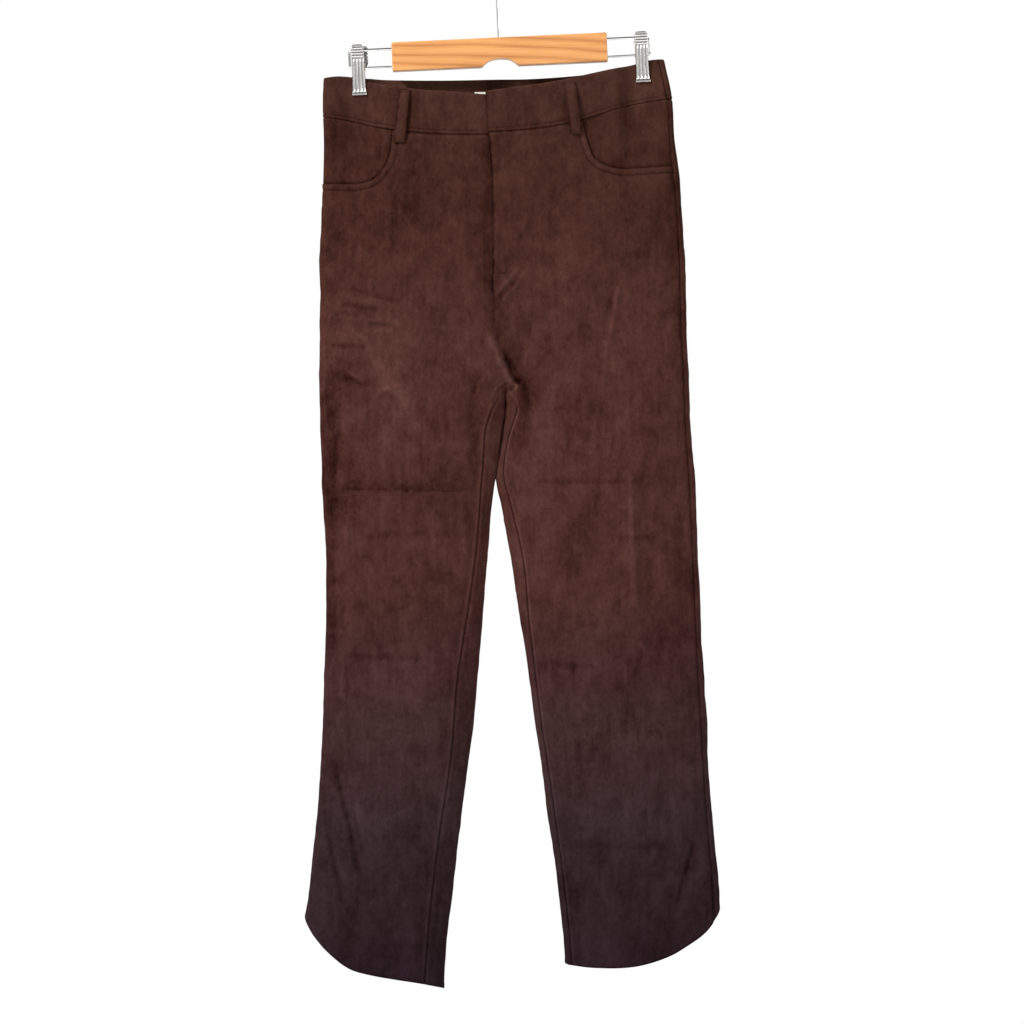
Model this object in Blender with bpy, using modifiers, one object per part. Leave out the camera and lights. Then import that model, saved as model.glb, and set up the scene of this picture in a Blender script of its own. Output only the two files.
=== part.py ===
"""Slim straight suede trousers, hung by two spring clips from a wood and wire clip hanger.

Sizes are in millimetres. A "drop" is how far a level lies below the hook's inner seat, which is the origin.
The front of the garment faces -Y. A place round a leg or half of the body is a face, front or back, and a
share b that runs from 0 at the outer fold to 1 at the middle of the body or the inner fold of the leg.
"""

import math

import bmesh
import bpy
import numpy as np
from mathutils import Matrix

for thing in list(bpy.data.objects):
    bpy.data.objects.remove(thing)

MM = 0.001
FRONT, BACK = -1, 1
LEFT, RIGHT = -1, 1

CLOTH = 1.6  # wall of a suede panel
BAND = 2.5  # wall of the folded waistband
SEAM = 0.3  # gap kept at every seam
TILT = math.radians(2.65)  # the hanger hangs with its right end higher

CROTCH = 483.0  # drop where the legs part
JOIN = 382.0  # drop where the body starts to split into legs
SPREAD = 355.0  # drop where the hips start to turn into thighs
ROUND = 0.9  # how blunt a section is at its side folds

# Body and leg sections. An inner fold is the body's middle above the crotch; front and back are depths.
SECTIONS = (
    # drop, left_out, right_out, left_in, right_in, front, back
    (117, -187, 185.5, -12, -12, 24, 14),
    (162, -189, 195, -10, -10, 24, 16),
    (206, -188, 198, -7, -7, 25, 20),
    (250, -189.5, 202.5, -3.5, -3.5, 26, 25),
    (294, -191.5, 206.5, -2.5, -2.5, 27, 30),
    (338, -192.5, 208.5, -2.5, -2.5, 27, 33),
    (382, -192.5, 210, -1.5, -1.5, 27, 33.5),
    (426, -192.5, 211.5, 3, 3, 26.5, 33),
    (459, -192.5, 213, 9, 9, 26, 31.5),
    (483, -192.5, 213.5, 11.5, 11.5, 25, 30),
    (503, -192.5, 214.5, 11.5, 11.7, 24, 29),
    (520, -192, 215.5, 9, 9.4, 23.5, 28),
    (547, -191, 217, 5, 5.6, 23, 27),
    (575, -189.5, 219, 0.4, 1.4, 22, 26),
    (613, -188, 221, -3.5, 7.5, 21, 25),
    (668, -186.5, 223.5, -8, 18, 20, 23),
    (734, -186, 226.5, -13.5, 28, 19, 21.5),
    (800, -187.5, 229.5, -20, 38, 18, 20),
    (855, -190, 233, -24.5, 45, 17.5, 19),
    (910, -193, 236, -31.5, 53, 17, 18),
    (965, -197, 240, -39.5, 60.5, 17, 18),
    (1020, -203, 244.5, -46, 68, 17, 18),
    (1064, -209, 247, -50.5, 73, 17.5, 18),
    (1108, -213.5, 248.5, -54, 77, 18, 18.5),
    (1141, -216, 249.5, -56.5, 80, 18, 18.5),
)

# Curved hems: share round the leg from outer to inner fold, drop of the left and right hem.
HEM = (
    # share, left, right
    (0, 1058, 1049),
    (0.1, 1069, 1061),
    (0.2, 1084, 1077),
    (0.3, 1101, 1090),
    (0.4, 1116, 1103),
    (0.5, 1123, 1111.5),
    (0.6, 1127.5, 1115),
    (0.7, 1131, 1115),
    (0.85, 1136, 1113),
    (1, 1139, 1111.5),
)

# Upper edge of the waistband in front and behind, and its lower seam in front.
TOP_FRONT_LEFT = (
    (-188, 137.5), (-170, 136), (-149, 138.5), (-137, 142.5), (-105, 149), (-82, 152), (-50, 154.5), (-9, 158)
)
TOP_FRONT_RIGHT = (
    (-8, 154), (16, 150.5), (38, 147.5), (60, 144), (83, 139.5), (105, 134.5), (127, 129.5), (149, 125),
    (162, 121.5), (176, 118), (187, 117),
)
TOP_BACK = (
    (-188, 137.5), (-170, 136), (-149, 138), (-137, 139.5), (-90, 141), (-45, 141), (0, 139.5), (30, 138.5),
    (65, 136), (91, 134), (110, 132), (126, 129), (145, 125.5), (162, 121.5), (176, 118), (187, 117),
)
SEAM_FRONT_LEFT = ((-188, 181.5), (-163, 185), (-130, 192.5), (-96, 198), (-50, 201.5), (-7, 201.5))
SEAM_FRONT_RIGHT = (
    (-6, 199), (38, 196), (79, 189.5), (104.5, 182.5), (148.5, 168.5), (170.5, 164), (195, 161)
)
BACK_BAND_DEEP = 44.0  # height of the waistband behind

# Clips: hanger position, and what they do to the waist.
CLIP_AT = 156.0  # from the hanger's middle to each clip
CLIP_X = (-149.5, 162.5)  # where they meet the waistband
PINCHED = 3.0  # from the middle plane to the band's face under a clip
PINCH_FLAT, PINCH_WIDE = 9.5, 30.0  # half widths of the pinch: flat, and where it ends
PINCH_DEEP, PINCH_FADE = 26.0, 150.0  # below the top edge: where it starts to open, and where it is gone
WAIST_LOOP = 4.0  # how much the waist opens between a clip and its fold
BOW = {FRONT: 19.0, BACK: 7.0}  # how far the waist bows between the clips

# Front pocket mouths, from the waist seam round to the side seam.
MOUTH_LEFT = (
    (-112, 195.5), (-114.5, 219), (-117.5, 229), (-122, 237.5), (-129, 246), (-138, 252), (-152, 255),
    (-168, 255), (-192, 254),
)
MOUTH_RIGHT = (
    (95.5, 185), (98, 197), (100.5, 206), (106.5, 223), (112.5, 229.5), (121, 234.5), (137, 238.5),
    (156, 238), (174, 236.5), (204, 234.5),
)
MOUTH_LAP = 10.0  # how far the pocket cloth goes on behind the front panel

SIDE_SEAM = 6.0  # from the outer fold, behind it on the left and in front of it on the right
# Inseams lie in front of the inner folds: drop, and how far from the fold on each leg.
INSEAM = (
    # drop, left, right
    (483, 0, 0),
    (490, 8, 8),
    (500, 14.5, 12.5),
    (515, 18, 11),
    (530, 19, 8),
    (547, 17.5, 7),
    (575, 14.5, 8.5),
    (613, 13, 11.5),
    (668, 13.5, 13),
    (740, 18, 9),
    (800, 21, 7),
    (900, 20, 7.5),
    (1020, 21, 7.5),
    (1141, 21, 7.5),
)

# Soft folds as troughs (below 0) and ridges: face, both ends, half width and height.
FOLDS = (
    # face, x, drop, to_x, to_drop, wide, high
    (FRONT, 4, 424, 21, 470, 9, -2.5),
    (FRONT, -177, 495, -176, 750, 9, -1.8),
    (FRONT, -95, 350, -60, 560, 16, 1.5),
    (FRONT, 148, 575, 151, 715, 10, 1.8),
    (FRONT, 130, 365, 112, 545, 12, -1.8),
    (FRONT, -172, 900, -150, 1010, 10, -1.8),
    (FRONT, 214, 975, 200, 1045, 10, -1.8),
    (FRONT, 60, 500, 110, 900, 14, 1.6),
    (BACK, -30, 430, -120, 330, 14, -2.2),
    (BACK, 45, 425, 125, 320, 14, -2.0),
    (BACK, -110, 560, -100, 850, 14, 1.8),
    (BACK, 110, 540, 135, 800, 14, 1.8),
    (BACK, -60, 520, -90, 640, 11, -1.8),
    (BACK, 190, 600, 200, 820, 11, -1.6),
)
# The right front laps over the left as far as the end of the fly.
FLY_STEP, FLY_WIDE, FLY_END = 0.8, 25.0, 354.0

LEVELS_BODY = (294, 324, 354, 382)
SPLIT_ANGLES = (20, 40, 56, 70, 81, 90)  # rows crowd together where the body turns under into the legs
LEVELS_LEG = (490, 500, 515, 540, 575, 613, 665, 720, 780, 840, 900, 960, 1015)
HEM_SHARES = (0.35, 0.7, 1.0)
# From the top edge to the hips.
TOP_ROWS = {FRONT: (0.0, 0.25, 0.6, 1.0), BACK: (0.0, 0.2, 0.4, 0.6, 0.8, 1.0)}


def smooth(xs, ys, x):
    """A soft curve through a table's values."""
    slopes = np.gradient(ys, xs)
    i = int(np.clip(np.searchsorted(xs, x) - 1, 0, len(xs) - 2))
    span = xs[i + 1] - xs[i]
    t = min(max((x - xs[i]) / span, 0.0), 1.0)
    rise = slopes[i] * span * (t**3 - 2 * t**2 + t) + slopes[i + 1] * span * (t**3 - t**2)
    return ys[i] * (2 * t**3 - 3 * t**2 + 1) + ys[i + 1] * (3 * t**2 - 2 * t**3) + rise


def along(points, x):
    """The second column of a two-column table at x."""
    xs, ys = zip(*sorted(points))
    return float(np.interp(x, xs, ys))


def bent(points, x):
    """A soft curve through a two-column table at x."""
    xs, ys = zip(*points)
    return float(smooth(np.array(xs, float), np.array(ys, float), x))


def ease(low, high, x):
    """0 before low, 1 past high, with a soft rise between."""
    t = min(max((x - low) / (high - low), 0.0), 1.0)
    return t * t * (3 - 2 * t)


def mix(a, b, t):
    return a + (b - a) * t


SECTION_COLUMNS = np.array(SECTIONS, float).T
HEM_COLUMNS = np.array(HEM, float).T
INSEAM_COLUMNS = np.array(INSEAM, float).T
KEPT = {}


def section(drop):
    """Outer folds, inner folds and depths at a level."""
    key = round(drop, 4)
    if key not in KEPT:
        KEPT[key] = [smooth(SECTION_COLUMNS[0], column, drop) for column in SECTION_COLUMNS[1:]]
    return KEPT[key]


def folds_of(side, drop):
    """The outer and the inner fold of one side."""
    left_out, right_out, left_in, right_in, _, _ = section(drop)
    if side == LEFT:
        return left_out, left_in - SEAM / 2
    return right_out, right_in + SEAM / 2


def top_edge(side, face, x):
    if face == BACK:
        return bent(TOP_BACK, x)
    return bent(TOP_FRONT_LEFT if side == LEFT else TOP_FRONT_RIGHT, x)


def split(b, drop):
    """0 where the section is the body's, 1 where it is a leg's, with a round turn under at the middle."""
    if drop >= CROTCH:
        return 1.0
    under = min(max((drop - JOIN) / (CROTCH - JOIN), 0.0), 1.0)
    turned = 1 - math.sqrt(1 - under * under)
    return mix(ease(SPREAD, CROTCH, drop), turned, ease(0.62, 1.0, b))


def relief(face, x, drop):
    """How far the soft folds move the cloth out."""
    total = 0.0
    for at, x0, d0, x1, d1, wide, high in FOLDS:
        if at != face:
            continue
        t = ((x - x0) * (x1 - x0) + (drop - d0) * (d1 - d0)) / ((x1 - x0) ** 2 + (d1 - d0) ** 2)
        t = min(max(t, 0.0), 1.0)
        gap = math.hypot(x - mix(x0, x1, t), drop - mix(d0, d1, t))
        total += high * math.exp(-((gap / wide) ** 2))
    return total


def skin(side, face, b, drop, lapped=True):
    """A point of the cloth's outer face."""
    if b < 0:
        face, b = -face, -b
    if b > 1:
        if drop >= CROTCH - 1e-6:
            face, b = -face, 2 - b
        else:
            b = 1.0
    outer, inner = folds_of(side, drop)
    deep = section(drop)[4 if face == FRONT else 5]
    leg = split(b, drop)
    turn = math.cos(math.pi * b / 2)
    on_leg = (outer + inner) / 2 + (outer - inner) / 2 * math.cos(math.pi * b)
    x = mix(inner + (outer - inner) * turn, on_leg, leg)
    body_y = deep * math.sin(math.pi * b / 2) ** ROUND
    leg_y = deep * max(math.sin(math.pi * b), 0.0) ** ROUND
    y = mix(body_y, leg_y, leg)
    below = drop - top_edge(side, face, x)
    if below < PINCH_FADE:
        u = (x - (CLIP_X[0] + CLIP_X[1]) / 2) / ((CLIP_X[1] - CLIP_X[0]) / 2)
        off = min(abs(x - CLIP_X[0]), abs(x - CLIP_X[1]))
        open_y = WAIST_LOOP + BOW[face] * max(1 - u * u, 0.0)
        waist_y = (PINCHED + open_y * ease(PINCH_FLAT, PINCH_WIDE, off)) * math.sqrt(max(1 - turn**24, 0.0))
        y = mix(waist_y, y, ease(PINCH_DEEP, PINCH_FADE, below))
    y += relief(face, x, drop) * min(y / 10, 1.0)
    if lapped and face == FRONT and drop < FLY_END + 40:
        lap = FLY_STEP * math.exp(-abs(x - inner) / FLY_WIDE) * (1 - ease(FLY_END, FLY_END + 40, drop))
        y += side * lap * min(y / 10, 1.0)
    return np.array((x, face * y, -drop))


def outward(side, face, b, drop):
    """The cloth's outward direction at a point of its outer face."""
    on_leg = drop >= CROTCH - 1e-6
    if not on_leg and b > 1 - 1e-6:
        up = skin(side, face, 1.0, drop - 1.0) - skin(side, face, 1.0, min(drop + 1.0, CROTCH - 0.05))
        found = np.array((0.0, face * up[2], -face * up[1]))
        return found / np.linalg.norm(found)
    if abs(drop - CROTCH) < 0.5 and b > 1 - 0.01:
        return np.array((0.0, 0.0, -1.0))
    step = 0.01
    round_it = skin(side, face, b + step, drop) - skin(side, face, b - step, drop)
    down = skin(side, face, b, drop + 1.5) - skin(side, face, b, drop - 1.5)
    found = np.cross(down, round_it) * side * face
    return found / np.linalg.norm(found)


def share_at(side, x, drop):
    """The share round the body at which the front reaches x."""
    outer, inner = folds_of(side, drop)
    turn = min(max((x - inner) / (outer - inner), -1.0), 1.0)
    if drop >= CROTCH:
        return math.acos(min(max(2 * turn - 1, -1.0), 1.0)) / math.pi
    return math.acos(turn) * 2 / math.pi


def side_share(side, face, drop):
    """The side seam's share on a face: behind the fold on the left, in front of it on the right."""
    outer, inner = folds_of(side, drop)
    width = abs(outer - inner)
    leg = split(0.1, drop)
    body_b = math.acos(1 - SIDE_SEAM / width) * 2 / math.pi
    leg_b = math.acos(1 - 2 * SIDE_SEAM / width) / math.pi
    return mix(body_b, leg_b, leg) * (1 if face == side * FRONT else -1)


def inseam_share(side, face, drop):
    """The inseam's share on a face, or the middle seam's above the crotch."""
    if drop < CROTCH - 1e-6:
        return 1.0
    outer, inner = folds_of(side, drop)
    away = smooth(INSEAM_COLUMNS[0], INSEAM_COLUMNS[1 if side == LEFT else 2], drop)
    b = math.acos(2 * max(away, 0.0) / abs(outer - inner) - 1) / math.pi
    return b if face == FRONT else 2 - b


def nudged(side, face, b, drop, way):
    """A seam's share moved half the seam gap along the cloth, and more where the inseam starts aslant."""
    step = 0.002 * way
    length = np.linalg.norm(skin(side, face, b + step, drop) - skin(side, face, b, drop))
    aslant = 1 + 2.0 * ease(530.0, 500.0, drop) if drop >= CROTCH - 1e-6 else 1.0
    return b + step * aslant * (SEAM / 2) / max(length, 1e-4)


def hem_drop(side, face, b):
    """Where the hem lies at a share, a little higher behind."""
    if b < 0:
        face, b = -face, -b
    if b > 1:
        face, b = -face, 2 - b
    edge = smooth(HEM_COLUMNS[0], HEM_COLUMNS[1 if side == LEFT else 2], math.hypot(b, 0.03))
    return edge - (3.0 * math.sin(math.pi * b) if face == BACK else 0.0)


def material(name, colour, rough, metal=0.0):
    made = bpy.data.materials.new(name)
    made.use_nodes = True
    shader = made.node_tree.nodes["Principled BSDF"]
    shader.inputs["Base Color"].default_value = (*colour, 1)
    shader.inputs["Roughness"].default_value = rough
    shader.inputs["Metallic"].default_value = metal
    made.diffuse_color = (*colour, 1)
    return made


SUEDE = material("suede", (0.068, 0.026, 0.019), 0.9)
PINE = material("pine", (0.82, 0.42, 0.16), 0.5)
STEEL = material("bright_steel", (0.62, 0.6, 0.57), 0.25, 1.0)
TAPE = material("tape", (0.05, 0.022, 0.017), 0.8)
WOVEN = material("label_cloth", (0.72, 0.68, 0.6), 0.8)

GARMENT = bpy.data.collections.new("suede_trousers")
TOOLS = bpy.data.collections.new("cutters")
for group in (GARMENT, TOOLS):
    bpy.context.scene.collection.children.link(group)


def add(name, mesh, finish, group=GARMENT):
    made = bpy.data.objects.new(name, mesh)
    group.objects.link(made)
    mesh.materials.append(finish)
    return made


def wall(name, outer, inner, finish):
    """A closed wall between two grids of points, given in millimetres."""
    rows, columns = len(outer), len(outer[0])
    work = bmesh.new()
    faces = [[work.verts.new(tuple(p * MM)) for line in grid for p in line] for grid in (outer, inner)]

    def at(grid, r, c):
        return faces[grid][r * columns + c]

    for r in range(rows - 1):
        for c in range(columns - 1):
            work.faces.new((at(0, r, c), at(0, r + 1, c), at(0, r + 1, c + 1), at(0, r, c + 1)))
            work.faces.new((at(1, r, c), at(1, r, c + 1), at(1, r + 1, c + 1), at(1, r + 1, c)))
    rim = [(0, c) for c in range(columns)] + [(r, columns - 1) for r in range(1, rows)]
    rim += [(rows - 1, c) for c in range(columns - 2, -1, -1)] + [(r, 0) for r in range(rows - 2, 0, -1)]
    for (r, c), (s, d) in zip(rim, rim[1:] + rim[:1]):
        work.faces.new((at(0, r, c), at(0, s, d), at(1, s, d), at(1, r, c)))
    if work.calc_volume(signed=True) < 0:
        bmesh.ops.reverse_faces(work, faces=work.faces)
    mesh = bpy.data.meshes.new(name)
    work.to_mesh(mesh)
    work.free()
    return add(name, mesh, finish)


def cloth(name, spots, finish, thick, sunk=None, lapped=True):
    """A wall of cloth on a grid of (side, face, b, drop), sunk below the skin by sunk(r, c)."""
    outer, inner = [], []
    for r, line in enumerate(spots):
        outer.append([])
        inner.append([])
        for c, (side, face, b, drop) in enumerate(line):
            out = outward(side, face, b, drop)
            low = sunk(r, c) if sunk else 0.0
            point = skin(side, face, b, drop, lapped)
            outer[-1].append(point - out * low)
            inner[-1].append(point - out * (low + thick))
    return wall(name, outer, inner, finish)


# Rows that every panel shares from the hips to the hem.
LEVELS = list(LEVELS_BODY)
LEVELS += [JOIN + (CROTCH - JOIN) * math.sin(math.radians(a)) for a in SPLIT_ANGLES]
LEVELS += list(LEVELS_LEG)
HIP = 272.0  # the first level below the pockets


def seam_drop(side, face, x):
    """The waistband's lower seam."""
    if face == BACK:
        return top_edge(side, face, x) + BACK_BAND_DEEP
    return bent(SEAM_FRONT_LEFT if side == LEFT else SEAM_FRONT_RIGHT, x)


def seam_at(side, face, b):
    """The drop at which a share meets the waistband's lower seam."""
    drop = 190.0
    for _ in range(4):
        drop = seam_drop(side, face, skin(side, face, b, drop)[0])
    return drop


def mouth_at(side, mouth, b):
    """The drop at which a share meets the pocket mouth."""
    drop = 250.0
    for _ in range(4):
        drop = along(mouth, skin(side, FRONT, b, drop)[0])
    return drop


def panel(name, side, face, shares, tops):
    """A body and leg panel from its shaped top edge to the hem; its columns even out below the hips."""
    last = len(shares) - 1

    def spot(i, drop, hem=None):
        first = nudged(side, face, side_share(side, face, drop), drop, 1)
        final = inseam_share(side, face, drop)
        if drop >= CROTCH - 1e-6:
            final = nudged(side, face, final, drop, -1)
        share = mix(shares[i], mix(shares[0], 1.0, i / last), ease(HIP, 400.0, drop))
        t = (share - shares[0]) / (1.0 - shares[0])
        b = mix(first, 1.0, t) + (final - 1.0) * t * t
        return side, face, b, drop if hem is None else mix(drop, hem_drop(side, face, b), hem)

    every = range(last + 1)
    spots = [[spot(i, mix(tops[i], HIP, t)) for i in every] for t in TOP_ROWS[face]]
    spots += [[spot(i, drop) for i in every] for drop in LEVELS]
    spots += [[spot(i, LEVELS[-1], share) for i in every] for share in HEM_SHARES]
    return cloth(name, spots, SUEDE, CLOTH)


# Columns round the waist, by x at the level of the clips: the waistband and what is sewn to it share them.
WAIST_LEVEL = 140.0
FRONT_X = {
    LEFT: ((-168, -159, -140, -126), -112, (-98, -80, -60, -42, -26)),
    RIGHT: ((172, 153, 136, 120, 107), 95.5, (78, 60, 42, 24, 6)),
}
BACK_X = {
    LEFT: (-170, -159, -140, -124, -108, -90, -72, -54, -36, -22),
    RIGHT: (172, 153, 136, 120, 104, 86, 68, 50, 32, 12),
}


def fold_shares(side, face):
    """Shares from the side seam round the outer fold."""
    seam = side_share(side, face, WAIST_LEVEL)
    return [seam, 0.0, 0.09, 0.18] if seam < 0 else [seam, 0.24]


def shares_at(side, xs):
    return [share_at(side, x, WAIST_LEVEL) for x in xs]


def front_shares(side):
    """Shares of the front waistband: to the pocket mouth, at it, and on to the middle."""
    outer, mouth_x, inner = FRONT_X[side]
    first = fold_shares(side, FRONT) + shares_at(side, outer)
    return first, share_at(side, mouth_x, 195.0), shares_at(side, inner)


def mouth_shares(side, mouth):
    """Shares from the side seam along the pocket mouth."""
    return fold_shares(side, FRONT) + [share_at(side, x, d) for x, d in mouth[1:-1]][::-1]


def front_panel(name, side, mouth):
    """The front's columns follow the pocket mouth first, then the waist seam to the middle."""
    _, mouth_b, inner = front_shares(side)
    under = mouth_shares(side, mouth)
    tops = [mouth_at(side, mouth, b) for b in under]
    shares = under + [mouth_b] + inner + [1.0]
    tops += [seam_at(side, FRONT, b) + SEAM / 2 for b in shares[len(under):]]
    return panel(name, side, FRONT, shares, tops)


def back_panel(name, side):
    shares = fold_shares(side, BACK) + shares_at(side, BACK_X[side]) + [1.0]
    return panel(name, side, BACK, shares, [seam_at(side, BACK, b) + SEAM / 2 for b in shares])


front_panel("front_left", LEFT, MOUTH_LEFT)
front_panel("front_right", RIGHT, MOUTH_RIGHT)
back_panel("back_left", LEFT)
back_panel("back_right", RIGHT)


# Waistband, made as two fronts and one back, with columns where the clips press it flat.
BAND_ROWS = (0.0, 0.3, 0.65, 1.0)


def band_column(side, face, b, at_seam=False):
    """A column of the waistband from its upper edge to its lower seam."""
    top = top_edge(side, face, skin(side, face, b, WAIST_LEVEL)[0])
    drops = [mix(top, seam_at(side, face, b) - SEAM / 2, t) for t in BAND_ROWS]
    if not at_seam:
        return [(side, face, b, drop) for drop in drops]
    return [(side, face, nudged(side, face, side_share(side, face, drop), drop, 1), drop) for drop in drops]


def band_half(side, face, shares):
    return [band_column(side, face, b, at_seam=i == 0) for i, b in enumerate(shares)]


def band(name, columns):
    return cloth(name, [list(row) for row in zip(*columns)], SUEDE, BAND)


for side, name in ((LEFT, "left"), (RIGHT, "right")):
    outer, mouth_b, inner = front_shares(side)
    band("waistband_front_" + name, band_half(side, FRONT, outer + [mouth_b] + inner + [1.0]))
halves = {}
for side in (LEFT, RIGHT):
    halves[side] = band_half(side, BACK, fold_shares(side, BACK) + shares_at(side, BACK_X[side]))
band("waistband_back", halves[LEFT] + [band_column(LEFT, BACK, 1.0)] + halves[RIGHT][::-1])


# Pocket cloth: what shows inside each scooped mouth, sunk below the front panel where it passes behind it.
def mouth_line(mouth, parts=6):
    """Points close together along a pocket mouth."""
    line = []
    for a, b in zip(mouth, mouth[1:]):
        line += [(mix(a[0], b[0], i / parts), mix(a[1], b[1], i / parts)) for i in range(parts)]
    return line + [mouth[-1]]


def pocket(name, side, mouth):
    dense = mouth_line(mouth)
    shares = mouth_shares(side, mouth) + [front_shares(side)[1]]
    shares.append(share_at(side, mouth[0][0] - side * MOUTH_LAP * 0.8, 195.0))
    spots = []
    for t in (0.0, 0.2, 0.42, 0.64, 0.82, 1.0):
        spots.append([])
        for i, b in enumerate(shares):
            x = skin(side, FRONT, b, 225.0)[0]
            near = [d + math.sqrt(MOUTH_LAP**2 - (x - m) ** 2) for m, d in dense if abs(x - m) < MOUTH_LAP]
            drop = mix(seam_at(side, FRONT, b) + SEAM / 2, max(near), t)
            if i == 0:
                b = nudged(side, FRONT, side_share(side, FRONT, drop), drop, 1)
            spots[-1].append((side, FRONT, b, drop))

    def sunk(r, c):
        x, _, z = skin(*spots[r][c])
        gap = min(math.hypot(x - m, -z - d) for m, d in dense)
        behind = abs(x) < abs(mouth[0][0]) or -z > along(mouth, x)
        return (CLOTH + SEAM) * (1.0 if behind else 1 - ease(5.0, 36.0, gap))

    cloth(name, spots, SUEDE, CLOTH, sunk)


pocket("pocket_left", LEFT, MOUTH_LEFT)
pocket("pocket_right", RIGHT, MOUTH_RIGHT)


def spot_at(face, x, drop):
    """The place on the garment above the crotch that has this x."""
    side = LEFT if x < section(drop)[2] else RIGHT
    return side, face, share_at(side, x, drop), drop


# Belt loops: folded strips that stand a little off the waistband between their sewn ends.
LOOPS = (
    # name, face, x, drop, to_x, to_drop
    ("loop_front_left", FRONT, -98.5, 152.5, -104.5, 210),
    ("loop_front_right", FRONT, 81.5, 143.5, 89, 201),
    ("loop_back_left", BACK, -108, 142.5, -111, 197),
    ("loop_back_centre", BACK, -8, 141.5, -6, 195),
    ("loop_back_right", BACK, 98, 135.5, 103, 190),
)
LOOP_WIDE, LOOP_THICK, LOOP_STANDS = 13.0, 2.0, 1.8
for name, face, x0, d0, x1, d1 in LOOPS:
    lower, upper = [], []
    for t in (0.0, 0.08, 0.25, 0.5, 0.75, 0.92, 1.0):
        lower.append([])
        upper.append([])
        for across, crown in ((-0.5, -0.3), (-0.2, 0.0), (0.2, 0.0), (0.5, -0.3)):
            spot = spot_at(face, mix(x0, x1, t) + across * LOOP_WIDE, mix(d0, d1, t))
            out = outward(*spot)
            lift = SEAM + LOOP_STANDS * ease(0.0, 0.3, t) * ease(1.0, 0.7, t)
            lower[-1].append(skin(*spot) + out * lift)
            upper[-1].append(skin(*spot) + out * (lift + LOOP_THICK + crown))
    wall(name, upper, lower, SUEDE)


def strip(name, face, x_from, x_to, drops, under, thick, finish, columns=4):
    """A flat strip inside the garment, across its middle line."""
    spots = []
    for drop in drops:
        middle = section(drop)[2]
        xs = [middle + mix(x_from, x_to, i / columns) for i in range(columns + 1)]
        spots.append([spot_at(face, x, drop) for x in xs])
    return cloth(name, spots, finish, thick, lambda r, c: under, lapped=False)


under_front = FLY_STEP + CLOTH + SEAM
strip("zip", FRONT, -15, 13, (207, 240, 272, 305, 340), under_front, 1.0, TAPE)
strip("fly_shield", FRONT, -18, 24, (206, 240, 272, 312, 352), under_front + 1.0 + SEAM, CLOTH, SUEDE)
strip("hook_bar", FRONT, -9, 9, (163, 173), FLY_STEP + BAND + SEAM, 1.2, STEEL, 2)
strip("label", BACK, -12, 23, (152, 165, 178), BAND + SEAM, 0.8, WOVEN)


# The hanger, made upright about the hook's seat and then tilted.
TILTED = Matrix.Rotation(-TILT, 4, "Y")
BLOCK_LONG, BLOCK_DEEP, BLOCK_HIGH = 237.0, 14.0, 32.0
BLOCK_Z = -109.5
WIRE, WIRES_APART, WIRE_END = 3.0, 19.5, 165.5  # thickness, spacing, reach of the bend's middle line
WIRE_Z = -110.0
WIRE_IN = 22.0  # how far the wires go into the block
HOOK_WIRE, HOOK_IN = 3.6, 18.0
RAIL = 42.0  # the widest rail that the hook takes


def tilted(thing):
    thing.data.transform(TILTED)
    return thing


def box(name, finish, low, high, group=GARMENT):
    work = bmesh.new()
    bmesh.ops.create_cube(work, size=1)
    for v in work.verts:
        v.co = [mix(low[i], high[i], v.co[i] + 0.5) * MM for i in range(3)]
    mesh = bpy.data.meshes.new(name)
    work.to_mesh(mesh)
    work.free()
    return add(name, mesh, finish, group)


def rod(name, finish, start, end, radius, sides=20, group=GARMENT):
    """A round bar along x or z between two points in the upright frame."""
    work = bmesh.new()
    round_it = {"segments": sides, "radius1": radius * MM, "radius2": radius * MM}
    bmesh.ops.create_cone(work, cap_ends=True, depth=1, **round_it)
    a, b = np.array(start, float), np.array(end, float)
    for v in work.verts:
        v.co.z *= np.linalg.norm(b - a) * MM
    if abs(b[0] - a[0]) > abs(b[2] - a[2]):
        bmesh.ops.rotate(work, verts=work.verts, matrix=Matrix.Rotation(math.pi / 2, 3, "Y"))
    bmesh.ops.translate(work, verts=work.verts, vec=(a + b) / 2 * MM)
    mesh = bpy.data.meshes.new(name)
    work.to_mesh(mesh)
    work.free()
    return add(name, mesh, finish, group)


def prism(name, finish, profile, axis, low, high, group=GARMENT):
    """A profile of (across, up) points made solid along y or x."""
    work = bmesh.new()
    place = (lambda a, u, s: (a, s, u)) if axis == "y" else (lambda a, u, s: (s, a, u))
    ends = [[work.verts.new([v * MM for v in place(a, u, s)]) for a, u in profile] for s in (low, high)]
    work.faces.new(ends[0])
    work.faces.new(ends[1][::-1])
    for i in range(len(profile)):
        j = (i + 1) % len(profile)
        work.faces.new((ends[0][i], ends[1][i], ends[1][j], ends[0][j]))
    bmesh.ops.recalc_face_normals(work, faces=work.faces)
    mesh = bpy.data.meshes.new(name)
    work.to_mesh(mesh)
    work.free()
    return add(name, mesh, finish, group)


def combine(target, other, operation):
    """Cuts other out of target, or joins it on, and keeps other only as a hidden tool."""
    step = target.modifiers.new(other.name, "BOOLEAN")
    step.operation = operation
    step.solver = "EXACT"
    step.object = other
    other.hide_render = True
    other.display_type = "WIRE"


def arc(centre, radius, start, end, parts):
    angles = [math.radians(mix(start, end, i / parts)) for i in range(parts + 1)]
    return [(centre[0] + radius * math.cos(a), centre[1] + radius * math.sin(a)) for a in angles]


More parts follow.
